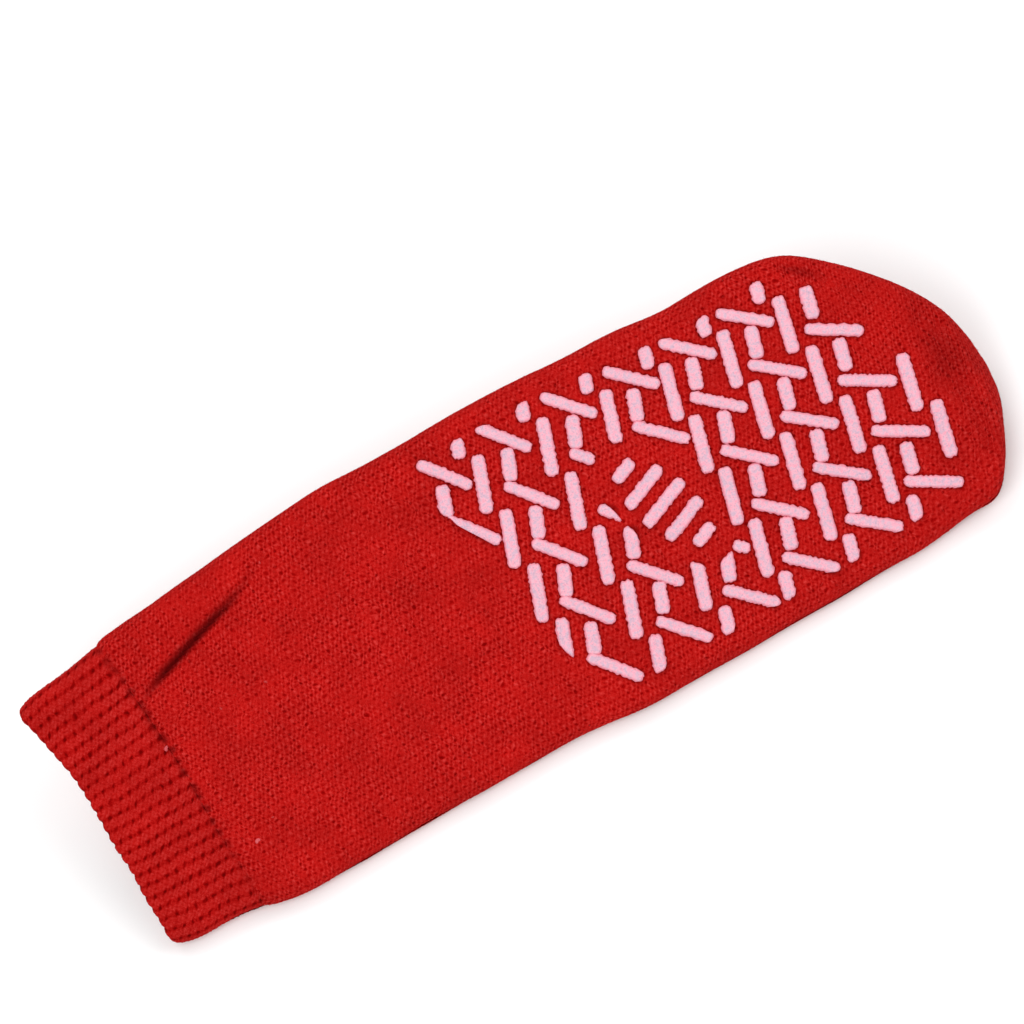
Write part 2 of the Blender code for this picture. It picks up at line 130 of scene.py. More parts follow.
LONG_ROWS = (
    BarRow(-2.183, 0.050, -0.25, 1.00, 70.0, -1, 3),
    BarRow(-1.106, 0.045, -0.25, 1.00, 71.0, -2, 3),
    BarRow(-0.079, 0.020, -0.40, 1.01, 73.0, -2, 3),
    BarRow(0.879, 0.000, -0.45, 0.98, 75.0, -2, 3),
    BarRow(1.877, -0.030, -0.46, 0.98, 76.0, -2, 3),
    BarRow(2.864, -0.070, -0.43, 0.98, 77.0, -2, 3),
    BarRow(3.857, -0.110, -0.30, 0.93, 77.0, -1, 0),
)
SHORT_ROWS = (
    BarRow(-2.780, 0.050, -0.25, 1.03, 70.0, 2, 2),
    BarRow(-1.757, 0.075, -0.29, 1.05, 68.0, -1, 2),
    BarRow(-0.664, 0.040, -0.30, 1.02, 69.0, -1, 2),
    BarRow(0.342, 0.000, -0.40, 1.01, 70.0, -1, 2),
    BarRow(1.307, -0.010, -0.44, 1.01, 72.0, -1, 2),
    BarRow(2.307, -0.040, -0.46, 1.00, 74.0, -1, 2),
    BarRow(3.292, -0.050, -0.37, 1.01, 76.0, -1, 2),
)
CROSS_ROWS = (
    BarRow(-2.583, 0.040, 0.15, 1.02, -52.0, 1, 2),
    BarRow(-1.649, 0.070, 0.15, 1.04, -51.0, -2, 2),
    BarRow(-0.568, 0.047, 0.10, 1.03, -48.0, -2, 2),
    BarRow(0.451, 0.020, 0.00, 1.02, -44.0, -2, 2),
    BarRow(1.393, 0.000, -0.03, 1.01, -42.0, -2, 2),
    BarRow(2.387, -0.040, -0.02, 0.99, -39.0, -2, 2),
    BarRow(3.385, -0.060, 0.07, 0.99, -31.0, -2, 1),
)


class Limit(NamedTuple):
    """The print's outline at a place in row pitches: side limits as shares of the ball width."""

    place: float
    upper: float
    lower: float


PRINT_LIMITS = (
    Limit(-2.882, 0.475, 0.311),
    Limit(-2.755, 0.475, 0.276),
    Limit(-2.721, 0.474, 0.252),
    Limit(-2.578, 0.473, 0.202),
    Limit(-2.435, 0.472, 0.157),
    Limit(-2.421, 0.472, -0.060),
    Limit(-2.392, 0.472, -0.163),
    Limit(-2.321, 0.471, -0.207),
    Limit(-2.235, 0.470, -0.261),
    Limit(-2.183, 0.470, -0.290),
    Limit(-1.615, 0.470, -0.428),
    Limit(-1.106, 0.470, -0.430),
    Limit(-0.087, 0.450, -0.434),
    Limit(1.514, 0.418, -0.434),
    Limit(2.532, 0.434, -0.432),
    Limit(2.969, 0.430, -0.422),
    Limit(3.988, 0.300, -0.400),
)


class Wave(NamedTuple):
    """One wave of the knit's relief: its turns for each course and wale, and its weight."""

    course: float
    wale: float
    weight: float


# Hollows are where the waves meet
# Stockinette of plied terry yarn: slanted legs, gaps between wales, and every second course a little tighter
STOCKINETTE = (
    Wave(1.0, -1.0, 0.26),
    Wave(1.0, 1.0, 0.16),
    Wave(0.0, 1.0, 0.20),
    Wave(0.0, 2.0, 0.08),
    Wave(0.5, -1.0, 0.06),
    Wave(0.5, 1.0, 0.04),
    Wave(0.5, 0.0, 0.03),
)
# Mock rib: a furrow every second wale, with a slanted tuck gap in it every second course
MOCK_RIB = (
    Wave(0.0, 0.5, 0.27),
    Wave(0.0, 1.0, 0.14),
    Wave(0.5, -0.5, 0.14),
    Wave(0.5, 0.5, 0.07),
    Wave(0.5, -1.0, 0.08),
    Wave(0.5, 0.0, 0.06),
    Wave(1.0, -1.0, 0.14),
    Wave(1.0, 1.0, 0.08),
    Wave(1.0, -0.5, 0.05),
)


def pattern(waves: tuple[Wave, ...], wale: Grid, course: Grid) -> Grid:
    """The depth of the knit's hollows.

    Args:
        waves: the knit's waves.
        wale: places round the tube, in wales.
        course: places along the tube, in courses.

    Returns:
        The depth at each place, near 1 in the deepest gaps and negative on the yarn.
    """
    total = np.zeros_like(wale)
    for wave in waves:
        total += wave.weight * np.cos(2.0 * math.pi * (wave.course * course + wave.wale * wale))
    return total


def smooth_step(value: Grid, start: float, end: float) -> Grid:
    """Goes softly from 0 at start to 1 at end."""
    share = np.clip((value - start) / (end - start), 0.0, 1.0)
    return share * share * (3.0 - 2.0 * share)


@dataclass(frozen=True)
class Ripple:
    """Soft seeded noise in two directions, a sum of waves of like length.

    Args:
        seed: seed of its random draws.
        shortest: shortest wave, in metres or in wales.
        longest: longest wave, in the same.
        count: how many waves are summed.
    """

    seed: int
    shortest: float
    longest: float
    count: int = 14

    def at(self, first: Grid, second: Grid) -> Grid:
        """The noise at some places.

        Args:
            first: the places' distances in one direction.
            second: and in the other.

        Returns:
            The noise there, mostly between -1 and 1.
        """
        random = np.random.default_rng(self.seed)
        total = np.zeros_like(np.asarray(first, float))
        for _ in range(self.count):
            heading = random.uniform(0.0, math.pi)
            length = math.exp(random.uniform(math.log(self.shortest), math.log(self.longest)))
            phase = random.uniform(0.0, 2.0 * math.pi)
            run = first * math.cos(heading) + second * math.sin(heading)
            total += np.sin(2.0 * math.pi * run / length + phase)
        return total / math.sqrt(self.count)


@dataclass(frozen=True)
class Felting:
    """How far wear has felted the stitches shut: in patches, in clumps, and stitch by stitch."""

    usual: float = 0.76
    patchy: float = 0.17
    clumped: float = 0.22
    single: float = 0.27
    least: float = 0.1
    most: float = 1.25
    patches: Ripple = Ripple(61, 16.0 * MM, 60.0 * MM)
    clumps: Ripple = Ripple(67, 5.0 * MM, 12.0 * MM, 18)
    stitches: Ripple = Ripple(71, 1.9 * MM, 4.2 * MM, 26)

    def openness(self, x: Grid, around: Grid) -> Grid:
        """How open the stitches are.

        Args:
            x: places along the sock.
            around: places round it.

        Returns:
            How open they are there, near 1 for unworn ones.
        """
        patches = self.patchy * self.patches.at(x, around)
        clumps = self.clumped * self.clumps.at(x, around)
        single = self.single * self.stitches.at(x, around)
        return np.clip(self.usual + patches + clumps + single, self.least, self.most)


def bell(value: Grid, width: float | Grid, middle: float | Grid = 0.0) -> Grid:
    """A soft bump, 1 high at its middle."""
    return np.exp(-(((value - middle) / width) ** 2))


def rib_beat(wale: Grid) -> Grid:
    """The beat of the ribs, each two wales wide: 1 on a rib and -1 in a furrow."""
    return np.cos(math.pi * wale)


def add_up(steps: Grid) -> Grid:
    """Adds up steps along the last axis, from 0 before the first."""
    return np.concatenate((np.zeros((*steps.shape[:-1], 1)), np.cumsum(steps, axis=-1)), axis=-1)


def unit(vectors: Grid) -> Grid:
    """Vectors of the same directions, 1 long."""
    return vectors / np.maximum(np.linalg.norm(vectors, axis=-1, keepdims=True), 1e-12)


@dataclass(frozen=True)
class SockForm:
    """The slack sock's form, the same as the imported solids', and the places of its stitches."""

    length: float = 0.326
    ball_width: float = 0.108
    instep_depth: float = 0.037
    sole_lean: float = math.radians(28.0)
    edge_round: float = 0.0055
    back_round: float = 0.011
    round_share: float = 0.43
    sole_crown: float = 0.0012
    back_crown: float = 0.0055
    wall: float = 0.0023
    cuff_wall: float = 0.0029
    cuff_height: float = 0.0312
    cuff_rim: float = 0.0009
    mouth_reach: float = 0.0070
    mouth_fade: float = 0.0690
    clearance: float = 0.0003
    middle_shift: float = -0.000118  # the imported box's middle, from the sock's own
    axis_shift: float = 0.012843
    sole_wales: int = 47
    back_wales: int = 51
    course: float = 1.68 * MM
    columns_a_wale: int = 3
    arc_steps: int = 16
    side_steps: int = 30
    helix: float = 22.0 / 98.0  # courses that a course climbs for each wale round the tube
    toe_start: float = 0.862  # where the wales leave the outline and run on straight, as a share of length

    @property
    def up_sole(self) -> Grid:
        """The direction up the leaning sole, in the plane of Y and Z."""
        return np.array((math.cos(self.sole_lean), math.sin(self.sole_lean)))

    @property
    def out_of_sole(self) -> Grid:
        """The direction out of the leaning sole, in the plane of Y and Z."""
        return np.array((-math.sin(self.sole_lean), math.cos(self.sole_lean)))

    @property
    def cuff_end(self) -> float:
        """The share of the length where the cuff ends."""
        return STATIONS[0].along + self.cuff_height / self.length

    @property
    def fold(self) -> int:
        """The body's column at the upper fold, where the grip side ends."""
        return self.sole_wales * self.columns_a_wale

    def rows_at(self, positions: Grid) -> Grid:
        """Reads the stations along a smooth curve.

        Args:
            positions: fractional row numbers.

        Returns:
            A row for each of them.
        """
        table = np.array(STATIONS)
        last = len(table) - 1
        index = np.clip(positions.astype(int), 0, last - 1)
        part = (positions - index)[:, None]
        before = table[np.maximum(index - 1, 0)]
        start = table[index]
        end = table[index + 1]
        after = table[np.minimum(index + 2, last)]
        return 0.5 * (
            2.0 * start
            + (end - before) * part
            + (2.0 * before - 5.0 * start + 4.0 * end - after) * part**2
            + (3.0 * start - before - 3.0 * end + after) * part**3
        )

    def positions_of(self, along: Grid) -> Grid:
        """Fractional row numbers of the stations at shares of the length."""
        dense = np.linspace(0.0, len(STATIONS) - 1, 24 * (len(STATIONS) - 1) + 1)
        return np.interp(along, self.rows_at(dense)[:, 0], dense)

    def rounds(self, row: Grid, inset: float) -> tuple[Grid, Grid, Grid]:
        """The section's three rounds.

        Args:
            row: one row of the stations, read at some place.
            inset: how much smaller the rounds are drawn.

        Returns:
            The rounds' centres in the plane of Y and Z, their radii, and the swell of the side after each.
        """
        _, upper, lower, depth, lift = row
        depth = depth * self.instep_depth
        lift = max(0.0, lift) * self.instep_depth
        edge = min(self.edge_round, self.round_share * depth)
        back = min(self.back_round, self.round_share * depth)
        run_y, run_z = self.up_sole
        low_y = (lower * self.ball_width + edge - (edge + lift) * run_z) / run_y
        low = np.array((low_y, edge + lift))
        high = low + self.up_sole * ((upper - lower) * self.ball_width - 2.0 * edge)
        foot_reach = (depth - edge - back + (back - edge) * run_y) / run_z
        foot = np.array((low_y + foot_reach, back + lift))
        fullness = depth / self.instep_depth
        radii = np.array((edge, edge, back)) - inset
        crowns = np.array((self.sole_crown, self.back_crown, 0.0)) * fullness
        return np.array((low, high, foot)), radii, crowns

    def outline(self, row: Grid, inset: float) -> tuple[Grid, int]:
        """The section's outline.

        Args:
            row: one row of the stations.
            inset: how far inside the outer face.

        Returns:
            A closed run of points from the lower fold's middle, and the number of the upper fold's middle.
        """
        centres, radii, crowns = self.rounds(row, inset)
        normals = []
        for index in range(3):
            run = centres[(index + 1) % 3] - centres[index]
            span = math.hypot(*run)
            rise = math.asin((radii[index] - radii[(index + 1) % 3]) / span)
            run = run / span
            normals.append(np.array((-run[1], run[0])) * math.cos(rise) + run * math.sin(rise))
        parts = []
        for index in range(3):
            start = math.atan2(normals[index - 1][1], normals[index - 1][0])
            leaving = normals[index]
            turn = (math.atan2(leaving[1], leaving[0]) - start) % (2.0 * math.pi) - 2.0 * math.pi
            angles = start + turn * np.linspace(0.0, 1.0, self.arc_steps + 1)
            arc = centres[index] + radii[index] * np.stack((np.cos(angles), np.sin(angles)), axis=1)
            side_end = centres[(index + 1) % 3] + radii[(index + 1) % 3] * leaving
            share = np.linspace(0.0, 1.0, self.side_steps + 1)[1:-1, None]
            swell = crowns[index] * np.sin(math.pi * share) ** 2
            parts += [arc, arc[-1] + (side_end - arc[-1]) * share + leaving * swell]
        points = np.concatenate(parts)
        half = self.arc_steps // 2
        points = np.concatenate((points[half:], points[: half + 1]))
        return points, self.arc_steps + self.side_steps

    def mouth_shift(self, along: float, across: Grid) -> Grid:
        """How far the slanted mouth draws points back along X.

        Args:
            along: the ring's share of the length.
            across: its points' distances from the sock's axis.

        Returns:
            The shift of each point.
        """
        share = np.maximum(0.0, across / (STATIONS[0].upper * self.ball_width))
        fade = max(0.0, 1.0 - (along - STATIONS[0].along) * self.length / self.mouth_fade)
        return self.mouth_reach * fade * share**2

    def ring(self, position: float, inset: float, columns_a_wale: int) -> Grid:
        """One ring of the tube.

        Args:
            position: the station's fractional row number.
            inset: how far inside the outer face.
            columns_a_wale: how many points a wale has.

        Returns:
            A point for each column, the first again at the end.
        """
        row = self.rows_at(np.array([position]))[0]
        points, cut = self.outline(row, inset)
        steps = np.hypot(*np.diff(points, axis=0).T)
        run = add_up(steps)
        sole = np.linspace(0.0, run[cut], self.sole_wales * columns_a_wale + 1)
        back = np.linspace(run[cut], run[-1], self.back_wales * columns_a_wale + 1)
        places = np.concatenate((sole, back[1:]))
        y = np.interp(places, run, points[:, 0])
        z = np.interp(places, run, points[:, 1])
        across = y * self.up_sole[0] + z * self.up_sole[1]
        x = (row[0] - 0.5) * self.length - self.mouth_shift(row[0], across)
        return np.stack((x, y, z), axis=1)

    def into_frame(self, points: Grid) -> Grid:
        """Moves points from the sock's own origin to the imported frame's."""
        return points + np.array((self.middle_shift, self.axis_shift, 0.0))

    def across_of(self, points: Grid) -> Grid:
        """The distance of each point from the sock's axis, up the sole."""
        return points[..., 1] * self.up_sole[0] + points[..., 2] * self.up_sole[1]

    def on_sole(self, x: Grid, across: Grid, height: Grid) -> Grid:
        """Points over the sole's smooth outer face.

        Args:
            x: their places along the sock.
            across: their distances from the sock's axis.
            height: their heights over the face.

        Returns:
            The points, in the same grid.
        """
        rows = self.rows_at(self.positions_of(x.ravel() / self.length + 0.5))
        points = np.empty((x.size, 3))
        for index, (row, place, rise) in enumerate(zip(rows, across.ravel(), height.ravel())):
            centres, radii, crowns = self.rounds(row, 0.0)
            low_across = centres[0] @ self.up_sole
            share = (place - low_across) / (centres[1] @ self.up_sole - low_across)
            swell = crowns[0] * math.sin(math.pi * min(max(share, 0.0), 1.0)) ** 2
            spot = centres[0] + (centres[1] - centres[0]) * share
            spot = spot + self.out_of_sole * (radii[0] + swell + rise)
            points[index] = (0.0, spot[0], spot[1])
        points[:, 0] = x.ravel()
        return points.reshape(*x.shape, 3)


class Hollow(NamedTuple):
    """A soft hollow of the sole: its middle, reach, slant in degrees, depth and the strength of its painted
    shade.
    """

    x: float
    across: float
    length: float
    width: float
    slant: float
    depth: float
    shade: float

    def at(self, x: Grid, across: Grid) -> Grid:
        """How deep the hollow is.

        Args:
            x: places along the sock.
            across: their distances from the sock's axis.

        Returns:
            Its depth there, from 0 to 1.
        """
        turn = math.radians(self.slant)
        along = (x - self.x) * math.cos(turn) + (across - self.across) * math.sin(turn)
        beside = (across - self.across) * math.cos(turn) - (x - self.x) * math.sin(turn)
        return bell(along, self.length) * bell(beside, self.width)


@dataclass(frozen=True)
class Creases:
    """The sock's soft troughs and ridges. x counts from the sock's middle."""

    form: SockForm
    crease_line: tuple[tuple[float, float], ...] = (
        (-0.1270, 0.0269),
        (-0.1191, 0.0307),
        (-0.1125, 0.0330),
        (-0.1059, 0.0351),
        (-0.0992, 0.0372),
        (-0.0924, 0.0393),
        (-0.0856, 0.0413),
        (-0.0790, 0.0439),
        (-0.0700, 0.0484),
    )
    # Height, place and width of the valley, of the bulge that hangs over it and of the shelf under it
    crease_profile: tuple[tuple[float, float, float], ...] = (
        (-2.00 * MM, 0.00 * MM, 1.10 * MM),
        (1.50 * MM, 3.52 * MM, 2.64 * MM),
        (-1.10 * MM, -2.42 * MM, 2.86 * MM),
    )
    crease_start: tuple[float, float] = (-0.04, 0.25)  # shares of the line over which it deepens
    crease_end: tuple[float, float] = (0.56, 1.06)
    # Reach of the sharp crease's painted shade below and above its line
    painted_shade_below: float = 0.85 * MM
    painted_shade_above: float = 2.1 * MM
    # Soft hollows: each one's last number is the painted shade in it
    hollows: tuple[Hollow, ...] = (
        Hollow(0.1518, -0.0050, 5.5 * MM, 17.0 * MM, 0.0, 1.7 * MM, 0.30),  # just inside the toe's edge
        Hollow(0.1249, 0.0425, 7.5 * MM, 1.6 * MM, -42.0, 0.8 * MM, 0.42),  # at the toe's upper corner
    )
    slack_height: float = 0.45 * MM
    slack: Ripple = Ripple(11, 0.028, 0.080)
    roll_height: float = 0.9 * MM
    rolls: Ripple = Ripple(23, 0.035, 0.090, 10)
    fine_height: float = 0.3 * MM
    fine: Ripple = Ripple(29, 0.012, 0.030, 10)
    lip: float = 2.2 * MM  # how far the cuff's edge runs on below the leg's
    link_depth: float = 0.45 * MM
    link_width: float = 0.9 * MM
    # Painted shade at the linking line: its width and strength, and below where it grows from either side
    painted_link_shade_width: float = 1.3 * MM
    painted_link_darkness: float = 0.62
    link_lower: tuple[float, float] = (-36.0 * MM, -14.0 * MM)  # where the puckers grow from either side
    link_upper: tuple[float, float] = (44.0 * MM, 22.0 * MM)
    wander_reach: float = 0.35 * MM
    wander: Ripple = Ripple(47, 2.0, 6.0)
    puckers: Ripple = Ripple(43, 1.3, 3.4)
    puff_height: float = 0.3 * MM
    puff_width: float = 3.0 * MM
    puff_place: float = 3.5 * MM
    gather_height: float = 0.32 * MM
    gather_reach: float = 11.0 * MM
    gathers: Ripple = Ripple(37, 2.1, 4.6)

    @property
    def link_x(self) -> float:
        """Where the cuff is linked to the leg, on the axis."""
        return (self.form.cuff_end - 0.5) * self.form.length

    def link_distance(self, x: Grid, across: Grid) -> Grid:
        """The distance past the line where cuff and leg are linked."""
        return x + self.form.mouth_shift(self.form.cuff_end, across) - self.link_x

    def crease_distance(self, x: Grid, across: Grid) -> tuple[Grid, Grid]:
        """Measures from the sharp crease.

        Args:
            x: places along the sock.
            across: their distances from the sock's axis.

        Returns:
            Their distances from it, negative on its lower side, and how deep it is there, from 0 to 1.
        """
        line = np.array(self.crease_line)
        nearest = np.full_like(x, 1.0)
        signed = np.full_like(x, 1.0)
        share = np.zeros_like(x)
        count = len(line) - 1
        for index in range(count):
            run = line[index + 1] - line[index]
            span = math.hypot(*run)
            run = run / span
            ahead = (x - line[index, 0]) * run[0] + (across - line[index, 1]) * run[1]
            beside = (across - line[index, 1]) * run[0] - (x - line[index, 0]) * run[1]
            beyond = np.maximum(0.0, np.maximum(-ahead, ahead - span))
            distance = np.hypot(beside, beyond)
            closer = distance < nearest
            nearest = np.where(closer, distance, nearest)
            signed = np.where(closer, np.copysign(distance, beside), signed)
            share = np.where(closer, (index + np.clip(ahead / span, 0.0, 1.0)) / count, share)
        strength = smooth_step(share, *self.crease_start) * (1.0 - smooth_step(share, *self.crease_end))
        return signed, strength

    def painted_sole_shade(self, x: Grid, across: Grid) -> Grid:
        """The painted shade of the sole side's creases and hollows. The sharp crease's shade is crisp below,
        and soft under the cloth above.

        Args:
            x: places along the sock.
            across: their distances from the sock's axis.

        Returns:
            The painted shade there, from 0 to 1.
        """
        signed, strength = self.crease_distance(x, across)
        width = np.where(signed < 0.0, self.painted_shade_below, self.painted_shade_above)
        hollows = sum(hollow.shade * hollow.at(x, across) for hollow in self.hollows)
        return np.maximum(bell(signed, width) * strength, hollows)

    def painted_link_shade(self, distance: Grid, wale: Grid, across: Grid) -> Grid:
        """The painted shade of the linking line: short puckers, a pair to each rib, strongest on the upper
        half.

        Args:
            distance: distances past the line.
            wale: places round the tube, in wales.
            across: distances from the sock's axis.

        Returns:
            The painted shade there, from 0 to 1.
        """
        pucker = 0.70 + 0.55 * rib_beat(wale) + 0.35 * self.puckers.at(wale, 0.3 * wale)
        reach = smooth_step(across, *self.link_lower) * (0.55 + 0.45 * smooth_step(across, *self.link_upper))
        line = bell(distance, self.painted_link_shade_width, self.wander_reach * self.wander.at(wale, 0.2 * wale))
        return self.painted_link_darkness * np.clip(pucker, 0.0, 1.0) * (0.3 + 0.7 * reach) * line

    def sole_height(self, x: Grid, across: Grid) -> Grid:
        """How far the sole side stands out or in.

        Args:
            x: places along the sock.
            across: their distances from the sock's axis.

        Returns:
            The height there.
        """
        signed, strength = self.crease_distance(x, across)
        crease = sum(height * bell(signed, width, place) for height, place, width in self.crease_profile)
        hollows = sum(hollow.depth * hollow.at(x, across) for hollow in self.hollows)
        return crease * strength - hollows + self.slack_height * self.slack.at(x, across)

    def back_height(self, x: Grid, around: Grid) -> Grid:
        """How far the hidden side stands out or in: soft rolls of slack cloth."""
        return self.roll_height * self.rolls.at(x, around) + self.fine_height * self.fine.at(x, around)

    def link_groove(self, distance: Grid, wale: Grid) -> Grid:
        """The height of the linking line's groove, deepest on the ribs."""
        pucker = 0.5 + 0.5 * rib_beat(wale)
        return -self.link_depth * pucker * bell(distance, self.link_width)

    def link_height(self, distance: Grid, wale: Grid) -> Grid:
        """The groove of the linking line and the gathers that run out of it into the leg.

        Args:
            distance: distances past the line.
            wale: places round the tube, in wales.

        Returns:
            The height there.
        """
        puff = self.puff_height * bell(distance, self.puff_width, self.puff_place)
        reach = np.exp(-np.maximum(distance, 0.0) / self.gather_reach)
        gathers = self.gather_height * reach * self.gathers.at(wale, distance / MM * 0.02)
        return self.link_groove(distance, wale) + puff + gathers * (distance > 0.0)


def linear(hex_colour: str) -> tuple[float, float, float, float]:
    """Turns an sRGB hex value to linear colour.

    Args:
        hex_colour: six hex digits.

    Returns:
        Linear red, green and blue, and an alpha of 1.
    """
    values = [int(hex_colour[index : index + 2], 16) / 255.0 for index in (0, 2, 4)]
    red, green, blue = (v / 12.92 if v <= 0.04045 else ((v + 0.055) / 1.055) ** 2.4 for v in values)
    return red, green, blue, 1.0


def set_ramp(ramp: ColorRamp, stops: tuple[tuple[float, str], ...]) -> None:
    """Gives a colour ramp its stops.

    Args:
        ramp: the ramp.
        stops: for each stop, its place and its sRGB hex value.
    """
    while len(ramp.elements) < len(stops):
        ramp.elements.new(0.5)
    for element, (place, hex_colour) in zip(ramp.elements, stops):
        element.position = place
        element.color = linear(hex_colour)


def join(tree: NodeTree, node: Node, **links: Input) -> None:
    """Sets a node's inputs.

    Args:
        tree: the material's node tree.
        node: one of its nodes.
        **links: for each input, named in lower case or i and its number, an output to link or a value to set.
    """
    for name, value in links.items():
        if name[0] == "i" and name[1:].isdigit():
            socket = node.inputs[int(name[1:])]
        else:
            socket = next(s for s in node.inputs if s.name.lower().replace(" ", "_") == name and s.enabled)
        if isinstance(value, NodeSocket):
            tree.links.new(value, socket)
        else:
            socket.default_value = value


def add_node(
    tree: NodeTree, kind: str, settings: dict | None = None, output: int | str = 0, **links: Input
) -> NodeSocket:
    """Adds a node to a material.

    Args:
        tree: the material's node tree.
        kind: the node's type, without the words ShaderNode.
        settings: values of the node's own properties, and under stops those of its colour ramp.
        output: which of its outputs is wanted.
        **links: the node's inputs, as join takes them.

    Returns:
        The wanted output of the new node.
    """
    node = tree.nodes.new("ShaderNode" + kind)
    for name, value in (settings or {}).items():
        if name == "stops":
            set_ramp(node.color_ramp, value)
        else:
            setattr(node, name, value)
    join(tree, node, **links)
    return node.outputs[output]


def add_waves(tree: NodeTree, waves: tuple[Wave, ...], wale: NodeSocket, course: NodeSocket) -> NodeSocket:
    """Sums the knit's waves in a material.

    Args:
        tree: the material's node tree.
        waves: the knit's waves.
        wale: the output that holds the place in wales.
        course: the output that holds the place in courses.

    Returns:
        The output that holds the hollows' depth.
    """
    total = 0.0
    for wave in waves:
        turn = add_node(tree, "Math", {"operation": "MULTIPLY"}, i0=wale, i1=2.0 * math.pi * wave.wale)
        angle = add_node(
            tree, "Math", {"operation": "MULTIPLY_ADD"}, i0=course, i1=2.0 * math.pi * wave.course, i2=turn
        )
        cosine = add_node(tree, "Math", {"operation": "COSINE"}, i0=angle)
        total = add_node(tree, "Math", {"operation": "MULTIPLY_ADD"}, i0=cosine, i1=wave.weight, i2=total)
    return total


@dataclass(frozen=True)
class Finish:
    """A material: its name, and how one starts.

    Args:
        name: the material's name.
    """

    name: str

    def start(self) -> tuple[Material, NodeTree, Node]:
        """Starts the material.

        Returns:
            The material, its node tree and its shader.
        """
        material = bpy.data.materials.new(self.name)
        material.use_nodes = True
        tree = material.node_tree
        return material, tree, tree.nodes["Principled BSDF"]


@dataclass(frozen=True)
class KnitFinish(Finish):
    """Dyed acrylic yarn, knitted and slightly felted by wear: matte, with painted shade in the gaps and
    painted light on the soft legs.

    Args:
        waves: the knit's relief.
        stops: the ramp from the painted light on the yarn to the painted shade in the gap, as sRGB hex.
        shade: the colour of the painted shade deep in creases, beside the print, at the linking line and
            inside the cuff.
        relief: the height of the bump.
        fibre: the width of one fibre bundle of the yarn.
        patch: the size of patches where the dye and the felting differ.
        fuzz: how much the fibres blur the stitches.
        sheen: the tint of light that grazes the fibres.
    """

    waves: tuple[Wave, ...]
    stops: tuple[tuple[float, str], ...]
    shade: str = "480102"
    relief: float = 0.28 * MM
    fibre: float = 0.38 * MM
    patch: float = 14.0 * MM
    fuzz: float = 1.5
    sheen: str = "FF4A42"

    def make(self) -> Material:
        """Builds the material.

        Returns:
            The new material.
        """
        material, tree, shader = self.start()
        place = add_node(tree, "TexCoord", output="Object")
        stitches = add_node(tree, "UVMap", {"uv_map": STITCH_MAP})
        split = add_node(tree, "SeparateXYZ", vector=stitches).node
        hollow = add_waves(tree, self.waves, split.outputs[0], split.outputs[1])
        fibres = add_node(tree, "TexNoise", vector=place, scale=1.0 / self.fibre, detail=3.0, roughness=0.65)
        patches = add_node(tree, "TexNoise", vector=place, scale=1.0 / self.patch, detail=3.0, roughness=0.6)
        opening = add_node(tree, "Attribute", {"attribute_name": OPEN}, "Fac")
        painted_shade_mask = add_node(tree, "Attribute", {"attribute_name": PAINTED_SHADE}, "Fac")
        blur = add_node(
            tree, "Math", {"operation": "MULTIPLY_ADD"}, i0=fibres, i1=self.fuzz, i2=-0.5 * self.fuzz
        )
        scaled = add_node(tree, "Math", {"operation": "MULTIPLY"}, i0=hollow, i1=opening)
        depth = add_node(tree, "Math", {"operation": "ADD"}, i0=scaled, i1=blur)
        spread = add_node(tree, "MapRange", value=depth, from_min=-0.75, from_max=1.0)
        # Painted light on the legs and painted shade in the gaps, following the stitches' hollows
        yarn = add_node(tree, "ValToRGB", {"stops": self.stops}, fac=spread)
        tone = add_node(tree, "MapRange", value=patches, from_min=0.3, from_max=0.7, to_min=0.87, to_max=1.11)
        dyed = add_node(tree, "HueSaturation", color=yarn, value=tone)
        mix = {"data_type": "RGBA"}
        # Painted shade: darkens the dyed knit toward the shade colour by the painted shade attribute
        colour = add_node(tree, "Mix", mix, 2, i0=painted_shade_mask, i6=dyed, i7=linear(self.shade))
        rough = add_node(tree, "MapRange", value=fibres, from_min=0.2, from_max=0.8, to_min=0.84, to_max=0.97)
        lifted = add_node(tree, "Math", {"operation": "MULTIPLY"}, i0=fibres, i1=0.9)
        height = add_node(tree, "Math", {"operation": "SUBTRACT"}, i0=lifted, i1=scaled)
        bump = add_node(tree, "Bump", height=height, distance=self.relief, strength=1.0)
        join(tree, shader, base_color=colour, roughness=rough, normal=bump, specular_ior_level=0.03)
        join(tree, shader, sheen_weight=0.03, sheen_roughness=0.5, sheen_tint=linear(self.sheen))
        return material


@dataclass(frozen=True)
class TerryFinish(Finish):
    """The loop side of terry knit: uncut yarn loops, a soft pebbled red without gloss.

    Args:
        loop: the spacing of the loops.
        stops: the ramp from the painted light on a loop's top to the painted shade of the ground between
            loops, as sRGB hex.
        sheen: the tint of light that grazes the loops.
    """

    name: str = "acrylic_terry_loops"
    loop: float = 1.5 * MM
    stops: tuple[tuple[float, str], ...] = ((0.1, "D83A38"), (0.55, "B01616"), (1.0, "640404"))
    sheen: str = "FF4A42"

    def make(self) -> Material:
        """Builds the material.

        Returns:
            The new material.
        """
        material, tree, shader = self.start()
        place = add_node(tree, "TexCoord", output="Object")
        loops = add_node(tree, "TexVoronoi", vector=place, scale=1.0 / self.loop)
        fibres = add_node(tree, "TexNoise", vector=place, scale=4.0 / self.loop, detail=3.0)
        depth = add_node(tree, "Math", {"operation": "MULTIPLY_ADD"}, i0=fibres, i1=0.4, i2=loops)
        height = add_node(tree, "Math", {"operation": "SUBTRACT"}, i0=1.0, i1=depth)
        bump = add_node(tree, "Bump", height=height, distance=0.6 * MM, strength=1.0)
        # Painted light on the loops' tops and painted shade in the ground between them
        colour = add_node(tree, "ValToRGB", {"stops": self.stops}, fac=depth)
        join(tree, shader, base_color=colour, normal=bump, roughness=0.95, specular_ior_level=0.03)
        join(tree, shader, sheen_weight=0.05, sheen_tint=linear(self.sheen))
        return material


